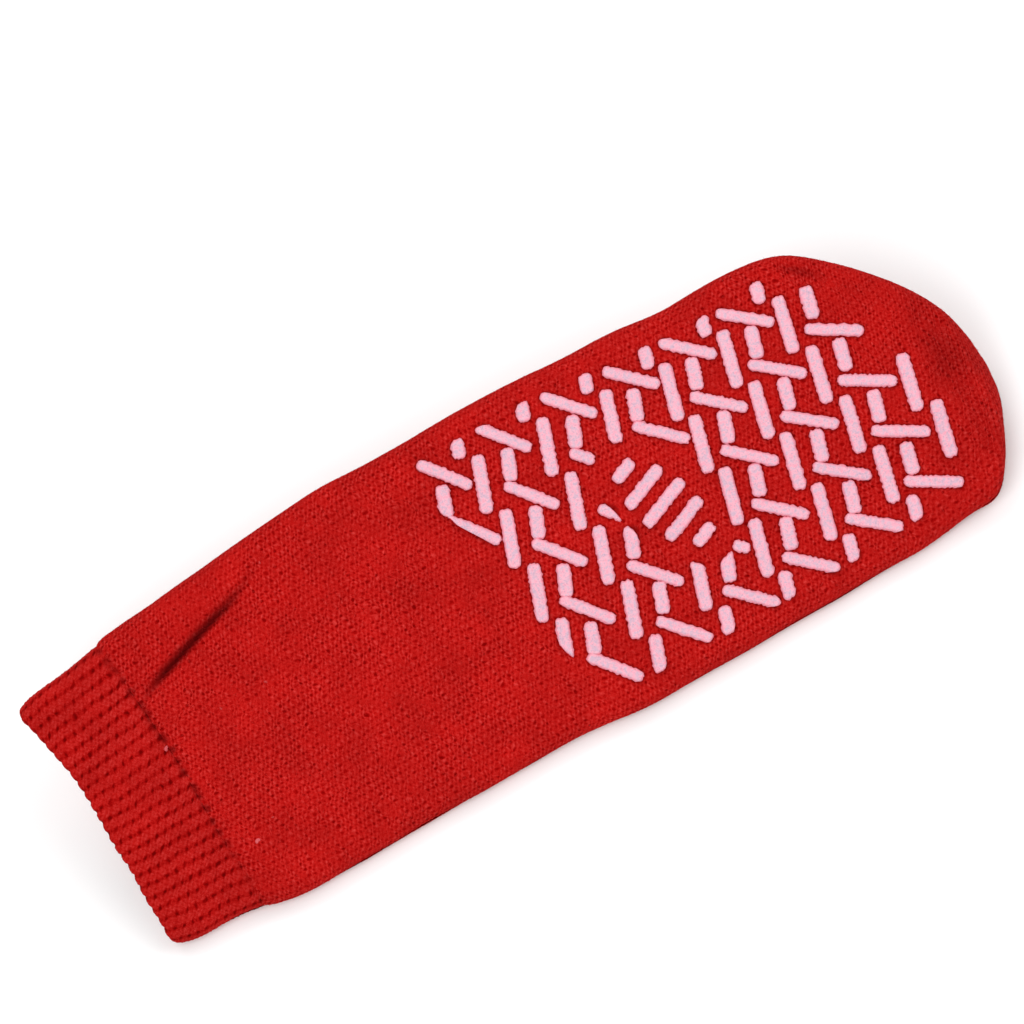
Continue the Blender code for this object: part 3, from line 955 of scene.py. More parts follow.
@dataclass(frozen=True)
class PrintFinish(Finish):
    """Screen-printed foamed plastisol: chalky pale pink with lilac mottling, pinker at its thin rim.

    Args:
        base: the print's main colour, as sRGB hex, as are the others.
        lilac: the colour of the clouds where the ink is thin.
        pink: the colour of the clouds where red dye has bled into it.
        rim: the colour of the thin edge over the red knit.
        stain: the colour of its dusty pores.
        cloud: the size of the clouds.
        pore: the size of the pores.
    """

    name: str = "foamed_plastisol_print"
    base: str = "E6ABB9"
    lilac: str = "CBA9BA"
    pink: str = "F09DAE"
    rim: str = "E97D8D"
    stain: str = "B797AC"
    cloud: float = 1.3 * MM
    pore: float = 0.5 * MM

    def make(self) -> Material:
        """Builds the material.

        Returns:
            The new material.
        """
        material, tree, shader = self.start()
        place = add_node(tree, "TexCoord", output="Object")
        clouds = add_node(tree, "TexNoise", vector=place, scale=1.0 / self.cloud, detail=2.0, roughness=0.6)
        pores = add_node(tree, "TexNoise", vector=place, scale=1.0 / self.pore, detail=2.5, roughness=0.7)
        spots = add_node(tree, "MapRange", value=pores, from_min=0.52, from_max=0.66, to_max=0.85)
        stops = ((0.36, self.lilac), (0.52, self.base), (0.66, self.pink))
        clouded = add_node(tree, "ValToRGB", {"stops": stops}, fac=clouds)
        mix = {"data_type": "RGBA"}
        mottled = add_node(tree, "Mix", mix, 2, i0=spots, i6=clouded, i7=linear(self.stain))
        edge = add_node(tree, "Attribute", {"attribute_name": RIM}, "Fac")
        colour = add_node(tree, "Mix", mix, 2, i0=edge, i6=mottled, i7=linear(self.rim))
        bump = add_node(tree, "Bump", height=pores, distance=0.34 * MM, strength=1.0)
        join(tree, shader, base_color=colour, normal=bump, roughness=0.62, ior=1.48, specular_ior_level=0.3)
        return material


@dataclass(frozen=True)
class FibreFinish(Finish):
    """Single acrylic fibres: thin, matte and lighter than the yarn that they come from.

    Args:
        clump: the size of tufts of one tone.
        stops: the ramp over the tufts, as sRGB hex.
    """

    name: str = "loose_acrylic_fibre"
    clump: float = 3.0 * MM
    stops: tuple[tuple[float, str], ...] = ((0.3, "B0201D"), (0.7, "CE3A36"))

    def make(self) -> Material:
        """Builds the material.

        Returns:
            The new material.
        """
        material, tree, shader = self.start()
        place = add_node(tree, "TexCoord", output="Object")
        clumps = add_node(tree, "TexNoise", vector=place, scale=1.0 / self.clump, detail=2.0)
        colour = add_node(tree, "ValToRGB", {"stops": self.stops}, fac=clumps)
        join(tree, shader, base_color=colour, roughness=0.8, specular_ior_level=0.1)
        return material


@dataclass(frozen=True)
class YarnFinish(Finish):
    """Twisted linking yarn: the knit's own red a shade darker, with slanted plies.

    Args:
        ply: the spacing of the plies.
        stops: the ramp from the painted shade in the gap between plies to the painted light on a ply's top,
            as sRGB hex.
    """

    name: str = "twisted_linking_yarn"
    ply: float = 0.45 * MM
    stops: tuple[tuple[float, str], ...] = ((0.1, "6E0505"), (0.8, "B91A1A"))

    def make(self) -> Material:
        """Builds the material.

        Returns:
            The new material.
        """
        material, tree, shader = self.start()
        place = add_node(tree, "TexCoord", output="Object")
        slanted = {"bands_direction": "DIAGONAL"}
        plies = add_node(tree, "TexWave", slanted, 1, vector=place, scale=0.05 / self.ply, distortion=3.0)
        bump = add_node(tree, "Bump", height=plies, distance=0.12 * MM, strength=1.0)
        # Painted shade in the gaps between plies and painted light on their tops
        colour = add_node(tree, "ValToRGB", {"stops": self.stops}, fac=plies)
        join(tree, shader, base_color=colour, normal=bump, roughness=0.9, specular_ior_level=0.15)
        return material


@dataclass(frozen=True)
class PaperFinish(Finish):
    """Matte white paper: an even pale ground that takes soft shadows.

    Args:
        colour: its sRGB hex colour.
    """

    name: str = "matte_paper_floor"
    colour: str = "F4F4F4"

    def make(self) -> Material:
        """Builds the material.

        Returns:
            The new material.
        """
        material, tree, shader = self.start()
        join(tree, shader, base_color=linear(self.colour), roughness=0.9, specular_ior_level=0.1)
        return material


def new_mesh(name: str, points: Grid, faces: list[tuple[int, ...]]) -> Mesh:
    """A mesh from arrays.

    Args:
        name: the mesh's name.
        points: the vertices, in a grid of any form.
        faces: the vertex numbers of each face.

    Returns:
        The new mesh, shaded smooth.
    """
    mesh = bpy.data.meshes.new(name)
    mesh.from_pydata(points.reshape(-1, 3), [], faces)
    mesh.shade_smooth()
    return mesh


def grid_faces(rows: int, columns: int, closed: bool = False) -> Grid:
    """The faces of a grid of points, numbered row by row.

    Args:
        rows: how many rows it has.
        columns: how many points a row has.
        closed: whether its last column joins its first.

    Returns:
        Four vertex numbers for each face.
    """
    first = np.arange(rows - 1)[:, None] * columns
    column = np.arange(columns if closed else columns - 1)[None, :]
    following = (column + 1) % columns
    corners = (first + column, first + following, first + columns + following, first + columns + column)
    return np.stack(corners, axis=-1).reshape(-1, 4)


def grid_normals(points: Grid) -> Grid:
    """Unit normals of rings, outward for rings that run from the cuff to the toe.

    Args:
        points: the rings, each one's last point its first again.

    Returns:
        A normal for each point.
    """
    inner = points[:, :-1]
    turn = np.roll(inner, -1, axis=1) - np.roll(inner, 1, axis=1)
    turn = np.concatenate((turn, turn[:, :1]), axis=1)
    return unit(np.cross(np.gradient(points, axis=0), turn))


def read_grid(grid: Grid, row: Grid, column: Grid) -> Grid:
    """Reads a grid between its points.

    Args:
        grid: the grid.
        row: fractional row numbers.
        column: fractional column numbers.

    Returns:
        What the grid holds there.
    """
    above, left = row.astype(int), np.minimum(column.astype(int), grid.shape[1] - 2)
    down, right = (row - above)[:, None], (column - left)[:, None]
    top = grid[above, left] * (1.0 - right) + grid[above, left + 1] * right
    bottom = grid[above + 1, left] * (1.0 - right) + grid[above + 1, left + 1] * right
    return top * (1.0 - down) + bottom * down


def add_value(mesh: Mesh, name: str, values: Grid) -> None:
    """Keeps a number at each vertex."""
    attribute = mesh.attributes.new(name, "FLOAT", "POINT")
    attribute.data.foreach_set("value", values.astype(np.float32).ravel())


class Cloth(NamedTuple):
    """Rings of the knit, as grids: their points, their places in the knit, how open they are and their
    painted shade.
    """

    points: Grid
    wale: Grid
    course: Grid
    opening: Grid
    shade: Grid

    def with_tip(self, step: float) -> "Cloth":
        """Closes the tip of the toe over the last ring.

        Args:
            step: the courses from one of the tip's rings to the next.

        Returns:
            The rings and the tip's, each of those smaller than the one before.
        """
        last = self.points[-1]
        centre = last[:-1].mean(axis=0)
        shares = np.array(TIP_SHARES)
        rings = centre + (last - centre) * shares[:, None, None]
        rings[:, :, 0] += TIP_BULGE * np.sqrt(1.0 - shares**2)[:, None]
        steps = step * np.arange(1, len(shares) + 1)[:, None]
        wale, course, opening, _ = (np.tile(grid[-1], (len(shares), 1)) for grid in self[1:])
        tip = (rings, wale, course + steps, opening, np.zeros_like(wale))
        return Cloth(*(np.concatenate(pair) for pair in zip(self, tip)))

    def mesh(self, name: str, form: SockForm) -> Mesh:
        """The cloth's mesh, with its stitches as a UV map.

        Args:
            name: the mesh's name.
            form: the sock's form.

        Returns:
            The new mesh.
        """
        mesh = new_mesh(name, form.into_frame(self.points), grid_faces(*self.wale.shape).tolist())
        corners = np.empty(len(mesh.loops), np.int32)
        mesh.loops.foreach_get("vertex_index", corners)
        places = np.stack((self.wale.ravel()[corners], self.course.ravel()[corners]), axis=1)
        layer = mesh.uv_layers.new(name=STITCH_MAP)
        layer.data.foreach_set("uv", places.astype(np.float32).ravel())
        add_value(mesh, PAINTED_SHADE, self.shade)
        add_value(mesh, OPEN, self.opening)
        return mesh


def add_object(name: str, data: ID) -> Object:
    """Adds an object to the scene.

    Args:
        name: its name.
        data: its mesh, camera or light.

    Returns:
        The new object.
    """
    thing = bpy.data.objects.new(name, data)
    bpy.context.scene.collection.objects.link(thing)
    return thing


def new_piece(mesh: Mesh, slot: Slot, materials: tuple[Material, ...], *nodes: str) -> None:
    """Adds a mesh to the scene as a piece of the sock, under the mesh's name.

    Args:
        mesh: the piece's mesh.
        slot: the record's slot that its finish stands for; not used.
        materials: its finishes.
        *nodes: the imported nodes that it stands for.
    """
    for material in materials:
        mesh.materials.append(material)
    piece = add_object(mesh.name, mesh)
    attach(piece, BODY)
    if nodes:
        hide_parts(*nodes)
    LOG.info("%s: %d faces", mesh.name, len(mesh.polygons))


class Bar(NamedTuple):
    """A bar of the print, in the flat plan of the sole."""

    x: float
    across: float
    length: float
    width: float
    turn: float

    def place(self, along: float | Grid, beside: float | Grid) -> tuple:
        """x and across at distances along the bar and beside its middle line."""
        run_x, run_across = math.cos(self.turn), math.sin(self.turn)
        return self.x + run_x * along - run_across * beside, self.across + run_across * along + run_x * beside

    def local(self, x: Grid, across: Grid) -> tuple[Grid, Grid]:
        """The distances of places along the bar and beside its middle line.

        Args:
            x: places along the sock.
            across: their distances from the sock's axis.

        Returns:
            The two distances.
        """
        run_x, run_across = math.cos(self.turn), math.sin(self.turn)
        right, up = x - self.x, across - self.across
        return right * run_x + up * run_across, up * run_x - right * run_across


@dataclass
class GripPrint:
    """The raised print on the sole: rows of long bars, chains of short and cross bars, and a ribbed oval."""

    form: SockForm
    creases: Creases
    height: float = 0.8 * MM
    row_pitch: float = 0.0224
    bar_pitch: float = 0.0195
    long_length: float = 0.0192
    long_width: float = 0.0045
    short_length: float = 0.0109
    short_width: float = 0.0047
    cross_length: float = 0.0191
    cross_width: float = 0.0039
    chain_reach: float = 0.0042
    shortest_bar: float = 0.0047
    oval_length: float = 0.0370
    oval_width: float = 0.0190
    oval_ribs: int = 5
    rib_width: float = 0.0043
    oval_turn: float = math.radians(-68.0)
    oval_along: float = 0.6560
    oval_clear_ends: float = 0.0077
    oval_clear_sides: float = 0.0034
    trial_places: int = 97  # along a bar, where it is tried against the print's outline
    trial_lines: int = 25  # and across it
    shortest_line: float = 1.2 * MM
    grain: float = 0.42 * MM  # spacing of each bar's points
    ragged: float = 0.18 * MM  # how far its edges wander with the stitches below
    corner: float = 1.75 * MM
    edge: float = 0.55 * MM  # over which its top rounds down to the knit
    edge_share: float = 0.16  # of its height, at the very edge
    pore_depth: float = 0.07 * MM
    sunk: float = 0.45 * MM  # how far its skirt reaches into the knit
    rim_width: float = 0.9 * MM
    rim_share: float = 0.8
    shade_reach: float = 6.0 * MM
    bare_distance: float = 0.5 * MM  # the least distance beyond the print's outline, where bars are cut
    bars: dict[str, list[Bar]] = field(default_factory=dict)

    @property
    def oval(self) -> Bar:
        """The oval, as one wide bar on the sock's axis."""
        middle = (self.oval_along - 0.5) * self.form.length
        return Bar(middle, 0.0, self.oval_length, self.oval_width, self.oval_turn)

    def is_printed(self, x: Grid, across: Grid) -> Grid:
        """Tells the print's area from bare knit.

        Args:
            x: places along the sock.
            across: their distances from the sock's axis.

        Returns:
            Whether they lie inside the print's outline and outside the oval's bare border.
        """
        oval = self.oval
        limits = np.array(PRINT_LIMITS)
        place = (x - oval.x) / self.row_pitch
        upper = np.interp(place, limits[:, 0], limits[:, 1]) * self.form.ball_width
        lower = np.interp(place, limits[:, 0], limits[:, 2]) * self.form.ball_width
        along, beside = oval.local(x, across)
        length_share = along / (0.5 * oval.length + self.oval_clear_ends)
        width_share = beside / (0.5 * oval.width + self.oval_clear_sides)
        return (lower <= across) & (across <= upper) & (length_share**2 + width_share**2 >= 1.0)

    def printed_run(self, bar: Bar, beside: float) -> tuple[float, float]:
        """The longest printed stretch along a line of a bar.

        Args:
            bar: the whole bar.
            beside: the line's distance from its middle line.

        Returns:
            The stretch's two ends.
        """
        offsets = np.linspace(-0.5, 0.5, self.trial_places) * bar.length
        inside = np.concatenate(((False,), self.is_printed(*bar.place(offsets, beside)), (False,)))
        changes = np.flatnonzero(np.diff(inside.astype(int)))
        if not len(changes):
            return 0.0, 0.0
        starts, ends = changes[::2], changes[1::2] - 1
        best = int(np.argmax(ends - starts))
        return float(offsets[starts[best]]), float(offsets[ends[best]])

    def trimmed(self, bar: Bar) -> Bar | None:
        """Trims a bar to the print's outline.

        Args:
            bar: the whole bar.

        Returns:
            Its printed stretch, or None where too little of it is printed.
        """
        start, end = self.printed_run(bar, 0.0)
        if end - start < self.shortest_bar:
            return None
        x, across = bar.place(0.5 * (start + end), 0.0)
        return bar._replace(x=x, across=across, length=end - start)

    def row_bars(self, row: BarRow, length: float, width: float) -> dict[int, tuple[Bar, Bar]]:
        """The bars of one row.

        Args:
            row: the row.
            length: its bars' length.
            width: their width.

        Returns:
            For each number, the whole bar and its printed stretch.
        """
        found = {}
        for number in range(row.first, row.last + 1):
            across = (row.phase + row.pitch * number) * self.bar_pitch
            x = self.oval.x + row.place * self.row_pitch + row.skew * across
            whole = Bar(x, across, length, width, math.radians(row.slant))
            stretch = self.trimmed(whole)
            if stretch:
                found[number] = (whole, stretch)
        return found

    def meets(self, short: Bar, cross: Bar) -> bool:
        """Tries whether a short bar, drawn out a little, meets the middle line of a cross bar.

        Args:
            short: the short bar's printed stretch.
            cross: the cross bar's.

        Returns:
            Whether they meet.
        """
        middle = Vector((short.x, short.across))
        reach = 0.5 * short.length + self.chain_reach
        ends = [Vector(cross.place(sign * 0.5 * cross.length, 0.0)) for sign in (-1.0, 1.0)]
        reached = [Vector(short.place(sign * reach, 0.0)) for sign in (-1.0, 1.0)]
        return any(intersect_line_line_2d(middle, end, *ends) for end in reached)

    def lay_out(self) -> None:
        """Fills bars with the print's bars, under the names of the nodes that they stand for."""
        for row_number, row in enumerate(LONG_ROWS, start=1):
            for number, (whole, _) in self.row_bars(row, self.long_length, self.long_width).items():
                self.bars[f"long_bar_{row_number}_{number - row.first + 1}"] = [whole]
        for row_number, (short_row, cross_row) in enumerate(zip(SHORT_ROWS, CROSS_ROWS), start=1):
            shorts = self.row_bars(short_row, self.short_length, self.short_width)
            crosses = self.row_bars(cross_row, self.cross_length, self.cross_width)
            latest = None
            for number in range(min(crosses), max(crosses) + 2):
                short, cross, before = shorts.get(number), crosses.get(number), crosses.get(number - 1)
                for bar, other in ((short, before), (cross, cross)):
                    if not bar:
                        continue
                    if not (short and other and self.meets(short[1], other[1])):
                        latest = f"chain_{row_number}_{number - cross_row.first + 1}"
                    self.bars.setdefault(latest, []).append(bar[0])

    def ribs(self) -> dict[str, Bar]:
        """Lays out the ribs of the oval, each as long as the oval is wide there.

        Returns:
            For each rib's node, its bar.
        """
        oval, found = self.oval, {}
        pitch = (oval.length - self.rib_width) / (self.oval_ribs - 1)
        for number in range(self.oval_ribs):
            offset = (number - 0.5 * (self.oval_ribs - 1)) * pitch
            length = oval.width * math.sqrt(1.0 - (abs(offset) / (0.5 * oval.length)) ** 2)
            turn = oval.turn + 0.5 * math.pi
            found[f"oval_rib_{number + 1}"] = Bar(*oval.place(offset, 0.0), length, self.rib_width, turn)
        return found

    def ends_of(self, bar: Bar, sides: Grid, clipped: bool) -> tuple[Grid, Grid]:
        """The ends of lines along a bar.

        Args:
            bar: the whole bar.
            sides: the lines' distances from its middle line.
            clipped: whether the print's outline cuts it.

        Returns:
            The lines' two ends.
        """
        if not clipped:
            return np.full_like(sides, -0.5 * bar.length), np.full_like(sides, 0.5 * bar.length)
        runs = np.array([self.printed_run(bar, beside) for beside in sides])
        return runs[:, 0], runs[:, 1]

    def bar_grid(self, bar: Bar, clipped: bool, seed: int) -> tuple[Grid, Grid, Grid]:
        """The top of one bar as a grid in the flat plan.

        Args:
            bar: the whole bar.
            clipped: whether the print's outline cuts it.
            seed: seed of its ragged edge.

        Returns:
            x, across and the distance from the bar's edge, each a grid.
        """
        coarse = np.linspace(-0.5, 0.5, self.trial_lines) * bar.width
        start, end = self.ends_of(bar, coarse, clipped)
        kept = np.flatnonzero(end - start > self.shortest_line)
        low, high = coarse[kept[0]], coarse[kept[-1]]
        lines = max(5, int(round((high - low) / self.grain)) | 1)
        beside = np.linspace(low, high, lines)
        start = np.interp(beside, coarse[kept], start[kept])
        end = np.interp(beside, coarse[kept], end[kept])
        corner = min(self.corner, 0.46 * (high - low))
        from_side = np.minimum(beside - low, high - beside)
        cut = corner - np.sqrt(np.maximum(0.0, corner**2 - np.maximum(0.0, corner - from_side) ** 2))
        start, end = (start + cut)[:, None], (end - cut)[:, None]
        count = max(6, int(round((end - start).max() / self.grain)))
        share = np.linspace(0.0, 1.0, count + 1)
        along = start + (end - start) * share
        side = np.repeat(beside[:, None], count + 1, axis=1)
        inset = np.minimum(np.minimum(side - low, high - side), np.minimum(along - start, end - along))
        wander = Ripple(seed, 1.1 * MM, 3.6 * MM, 10)
        side_pull = self.ragged * (2.0 * (side - low) / (high - low) - 1.0) ** 3
        end_pull = self.ragged * (2.0 * share - 1.0) ** 9
        side = side + side_pull * wander.at(along, side * 0.4)
        along = along + end_pull * wander.at(side * 1.3 + 0.01, along * 0.3)
        return *bar.place(along, side), inset

    def bar_shape(self, bar: Bar, clipped: bool, seed: int) -> tuple[Grid, Grid, Grid]:
        """One bar as a closed solid.

        Args:
            bar: the whole bar.
            clipped: whether the print's outline cuts it.
            seed: seed of its edge and its pores.

        Returns:
            Its points, its faces as quads and each point's share of rim.
        """
        x, across, inset = self.bar_grid(bar, clipped, seed)
        rows, columns = x.shape
        share = np.clip(inset / self.edge, 0.0, 1.0)
        rise = self.height * (self.edge_share + (1.0 - self.edge_share) * np.sqrt(1.0 - (1.0 - share) ** 2))
        pores = self.pore_depth * Ripple(seed + 7, 0.8 * MM, 2.6 * MM, 10).at(x, across)
        base = self.creases.sole_height(x, across) + self.form.clearance
        top = self.form.on_sole(x, across, base + rise + pores * share).reshape(-1, 3)
        numbers = np.arange(rows * columns).reshape(rows, columns)
        ring = np.concatenate((numbers[0], numbers[1:, -1], numbers[-1, -2::-1], numbers[-2:0:-1, 0]))
        rim_x, rim_across = x.ravel()[ring], across.ravel()[ring]
        foot_height = self.creases.sole_height(rim_x, rim_across) - self.sunk
        foot = self.form.on_sole(rim_x, rim_across, foot_height)
        points = np.concatenate((top, foot, foot.mean(axis=0, keepdims=True)))
        below = len(top) + np.arange(len(ring))
        centre = np.full(len(ring), len(points) - 1)
        skirt = np.stack((ring, np.roll(ring, -1), np.roll(below, -1), below), axis=1)
        floor = np.stack((below, np.roll(below, -1), centre, centre), axis=1)
        faces = np.concatenate((grid_faces(rows, columns)[:, ::-1], skirt, floor))
        rim = np.concatenate((1.0 - smooth_step(inset.ravel(), 0.0, self.rim_width), np.ones(len(ring) + 1)))
        return points, faces, rim

    def make_piece(self, name: str, bars: list[Bar], clipped: bool, material: Material, seed: int) -> None:
        """Builds one piece of the print.

        Args:
            name: the node that it stands for.
            bars: its bars.
            clipped: whether the print's outline cuts them.
            material: their finish.
            seed: seed of their edges and pores.
        """
        points, faces, rims, count = [], [], [], 0
        for index, bar in enumerate(bars):
            shape, corners, rim = self.bar_shape(bar, clipped, seed * 17 + index)
            points.append(shape)
            faces += [tuple(dict.fromkeys(face)) for face in (corners + count).tolist()]
            rims.append(rim)
            count += len(shape)
        mesh = new_mesh(f"printed_{name}", self.form.into_frame(np.concatenate(points)), faces)
        add_value(mesh, RIM, self.rim_share * np.concatenate(rims))
        new_piece(mesh, Slot.PRINT, (material,), name)

    def build(self, material: Material) -> None:
        """Builds every piece of the print.

        Args:
            material: its finish.
        """
        for seed, (name, bars) in enumerate(self.bars.items()):
            self.make_piece(name, bars, True, material, seed)
        for seed, (name, rib) in enumerate(self.ribs().items(), start=200):
            self.make_piece(name, [rib], False, material, seed)

    def nearness(self, x: Grid, across: Grid) -> Grid:
        """Measures from the nearest printed bar's edge.

        Args:
            x: places along the sock.
            across: their distances from the sock's axis.

        Returns:
            Their distances from the edge, negative under a bar.
        """
        nearest = np.full(x.shape, 1.0)
        stretches = [self.trimmed(bar) for bars in self.bars.values() for bar in bars]
        for bar in (*stretches, *self.ribs().values()):
            close = np.hypot(x - bar.x, across - bar.across) < 0.5 * bar.length + self.shade_reach
            along, beside = bar.local(x[close], across[close])
            along = np.abs(along) - 0.5 * bar.length + self.corner
            beside = np.abs(beside) - 0.5 * bar.width + self.corner
            outside = np.hypot(np.maximum(along, 0.0), np.maximum(beside, 0.0))
            distance = outside + np.minimum(np.maximum(along, beside), 0.0) - self.corner
            nearest[close] = np.minimum(nearest[close], distance)
        in_oval = np.hypot(x - self.oval.x, across) < 0.5 * self.oval_length + self.oval_clear_ends
        cut_off = ~self.is_printed(x, across) & ~in_oval
        return np.where(cut_off, np.maximum(nearest, self.bare_distance), nearest)


@dataclass
class KnitBody:
    """Leg, foot and sole, one knitted tube: a grip side and a hidden side, each with its inner face."""

    form: SockForm
    creases: Creases
    grip: GripPrint
    relief: float = 0.17 * MM
    rings_a_course: float = 3.0
    trial_rings: int = 400
    inner_spacing: float = 4.5 * MM
    toe_bend: float = 0.33  # slope of the wales at the tip
    toe_reach: float = 0.037
    toe_turn: float = 0.22  # slope that the courses gain over that reach
    wobble: Ripple = Ripple(3, 7.0 * MM, 22.0 * MM)
    wale_wobble: float = 0.12  # in wales, as is the next
    wale_jitter: float = 0.10
    jitter: Ripple = Ripple(5, 2.4 * MM, 5.0 * MM)
    course_wobble: float = 0.18  # in courses, as is the next
    course_jitter: float = 0.18
    back_blend: tuple[float, float] = (-6.0 * MM, 12.0 * MM)  # past the folds, where the creases become rolls
    off_floor: tuple[float, float] = (0.3 * MM, 6.0 * MM)  # heights where the creases begin and are whole
    stitches_off_floor: float = 0.6 * MM  # below it, stitches don't stand out toward the floor
    calm_toe: tuple[float, float] = (0.135, 0.160)  # places along the sock where the toe's cloth grows calm
    calm_share: float = 0.8
    inner_most: float = 0.8 * MM  # how far a ridge moves the inner face out
    inner_lowest: float = 0.8 * MM  # over the floor
    pressed: float = 0.25 * MM  # how far the print presses the knit down
    print_edge: tuple[float, float] = (-0.2 * MM, 0.6 * MM)  # past a bar's edge, where it starts to and does
    # Painted shade beside the print's bars: its width and strength, and the darkest painted shade of all
    painted_shade_beside_width: float = 0.55 * MM
    painted_shade_beside_print: float = 0.5
    darkest_painted_shade: float = 0.95
    points: Grid = field(default_factory=lambda: np.empty(0))
    normals: Grid = field(default_factory=lambda: np.empty(0))
    along: Grid = field(default_factory=lambda: np.empty(0))

    def rings(self, inset: float, spacing: float) -> Grid:
        """Smooth rings that lie evenly along the cloth, from the cuff to the toe.

        Args:
            inset: how far inside the outer face.
            spacing: the distance between them.

        Returns:
            The rings' points.
        """
        form = self.form
        start = form.cuff_end - 0.1 * MM / form.length
        end = STATIONS[-1].along - inset / form.length
        first, last = form.positions_of(np.array((start, end)))
        dense = np.linspace(first, last, self.trial_rings)
        trials = np.array([form.ring(position, inset, 1) for position in dense])
        run = add_up(np.linalg.norm(np.diff(trials, axis=0), axis=2).mean(axis=1))
        count = int(round(run[-1] / spacing))
        positions = np.interp(np.linspace(0.0, run[-1], count + 1), run, dense)
        return np.array([form.ring(position, inset, form.columns_a_wale) for position in positions])

    def straight_wales(self, points: Grid, run: Grid, toe: int, reach: Grid) -> Grid:
        """Counts the wales, which leave the outline at the toe and run on nearly straight.

        Args:
            points: the rings.
            run: the distance round each ring.
            toe: the ring where the toe starts.
            reach: how far each ring lies past it.

        Returns:
            The wale of each point.
        """
        form, fold = self.form, self.form.fold
        rings, columns, _ = points.shape
        wale = np.tile(-0.5 * form.sole_wales + np.arange(columns) / form.columns_a_wale, (rings, 1))
        across = form.across_of(points)
        bend = self.toe_bend * reach**2 / (2.0 * self.toe_reach)
        sides = ((0, fold, 1.0, form.sole_wales), (fold, columns - 1, -1.0, form.back_wales))
        for low, high, sign, wales in sides:
            half = 0.5 * (run[:, high] - run[:, low])
            middle = across[:, (low + high) // 2]
            place = middle[:, None] + sign * (run[:, low : high + 1] - run[:, low : low + 1] - half[:, None])
            if sign > 0.0:
                place = place - bend[:, None]
            straight = sign * (place - middle[toe]) / half[toe] * 0.5 * wales
            centre = 0.5 * (wale[0, low] + wale[0, high])
            wale[toe:, low : high + 1] = (centre + straight)[toe:]
        return wale

    def knit_places(self, points: Grid) -> tuple[Grid, Grid, Grid]:
        """Where each point of the rings lies in the knit.

        Args:
            points: the rings, ring by ring.

        Returns:
            Wales, courses, and the distance round the hidden side, each a grid.
        """
        form, fold = self.form, self.form.fold
        columns = points.shape[1]
        x, middle_x = points[:, :, 0], points[:, fold // 2, 0]
        run = add_up(np.linalg.norm(np.diff(points, axis=1), axis=2))
        toe = int(np.searchsorted(middle_x / form.length + 0.5, form.toe_start))
        reach = np.maximum(0.0, middle_x - middle_x[toe])
        wale = self.straight_wales(points, run, toe, reach)
        drop = np.linalg.norm(np.gradient(points[:, :, 1:], axis=0), axis=2)
        forward = np.abs(np.gradient(x, axis=0))
        surplus = np.hypot(forward, drop) - forward
        extra = np.cumsum(surplus[:, (fold // 2, fold + (columns - fold) // 2)], axis=0)
        extra = np.repeat(extra, (fold + 1, columns - fold - 1), axis=1)
        turn = np.clip(reach / self.toe_reach, 0.0, 1.2)[:, None] * self.toe_turn
        course = (x + extra + turn * form.across_of(points)) / form.course + form.helix * wale
        wale = wale + self.wale_wobble * self.wobble.at(x, run) + self.wale_jitter * self.jitter.at(x, run)
        course = course + self.course_wobble * self.wobble.at(run, x)
        course = course + self.course_jitter * self.jitter.at(run, x)
        return wale, course, run - run[:, fold : fold + 1]

    def heights(self, points: Grid, wale: Grid, around: Grid) -> Grid:
        """The soft form's rise: creases on the grip side, rolls on the other.

        Args:
            points: the rings.
            wale: their places round the tube, in wales.
            around: their distances round the hidden side.

        Returns:
            The rise at each point.
        """
        x, across = points[:, :, 0], self.form.across_of(points)
        sole = self.creases.sole_height(x, across)
        back = self.creases.back_height(x, around)
        into_back = np.minimum(around, around[:, -1:] - around)
        share = smooth_step(into_back, *self.back_blend)
        standing = smooth_step(points[:, :, 2], *self.off_floor)
        toe = 1.0 - self.calm_share * smooth_step(x, *self.calm_toe)
        link = self.creases.link_height(self.creases.link_distance(x, across), wale)
        return (sole * (1.0 - share) + back * share) * standing * toe + link * (0.25 + 0.75 * standing)

    def painted_shades(self, points: Grid, wale: Grid, near: Grid) -> Grid:
        """The painted shade beside the print, deep in the creases and at the linking line.

        Args:
            points: the rings.
            wale: their places round the tube, in wales.
            near: the grip side's distances from the print.

        Returns:
            The painted shade at each point, from 0 to 1.
        """
        x, across = points[:, :, 0], self.form.across_of(points)
        shade = self.creases.painted_link_shade(self.creases.link_distance(x, across), wale, across)
        sole = np.s_[:, : self.form.fold + 1]
        beside = self.painted_shade_beside_print * bell(np.maximum(near, 0.0), self.painted_shade_beside_width)
        creased = np.maximum(beside, self.creases.painted_sole_shade(x[sole], across[sole]))
        shade[sole] = np.maximum(shade[sole], creased)
        return np.clip(shade, 0.0, self.darkest_painted_shade)

    def outer_face(self) -> Cloth:
        """Shapes the outer face, with its stitches as relief, and keeps it for the seam and the fibres.

        Returns:
            The outer face.
        """
        form = self.form
        smooth = self.rings(0.0, form.course / self.rings_a_course)
        wale, course, around = self.knit_places(smooth)
        opening = Felting().openness(smooth[:, :, 0], around)
        sole = smooth[:, : form.fold + 1]
        near = self.grip.nearness(sole[:, :, 0], form.across_of(sole))
        covered = np.zeros_like(wale)
        covered[:, : form.fold + 1] = smooth_step(-near, *self.print_edge)
        texture = -self.relief * pattern(STOCKINETTE, wale, course) * opening * (1.0 - covered)
        texture = texture - self.pressed * covered
        resting = smooth_step(smooth[:, :, 2], 0.0, self.stitches_off_floor)
        texture = np.where(texture > 0.0, texture * resting, texture)
        rise = self.heights(smooth, wale, around) + texture
        points = smooth + grid_normals(smooth) * rise[..., None]
        points[:, :, 2] = np.maximum(points[:, :, 2], ON_FLOOR)
        self.points, self.normals = points, grid_normals(points)
        self.along = smooth[:, form.fold // 2, 0] / form.length + 0.5
        return Cloth(points, wale, course, opening, self.painted_shades(smooth, wale, near))

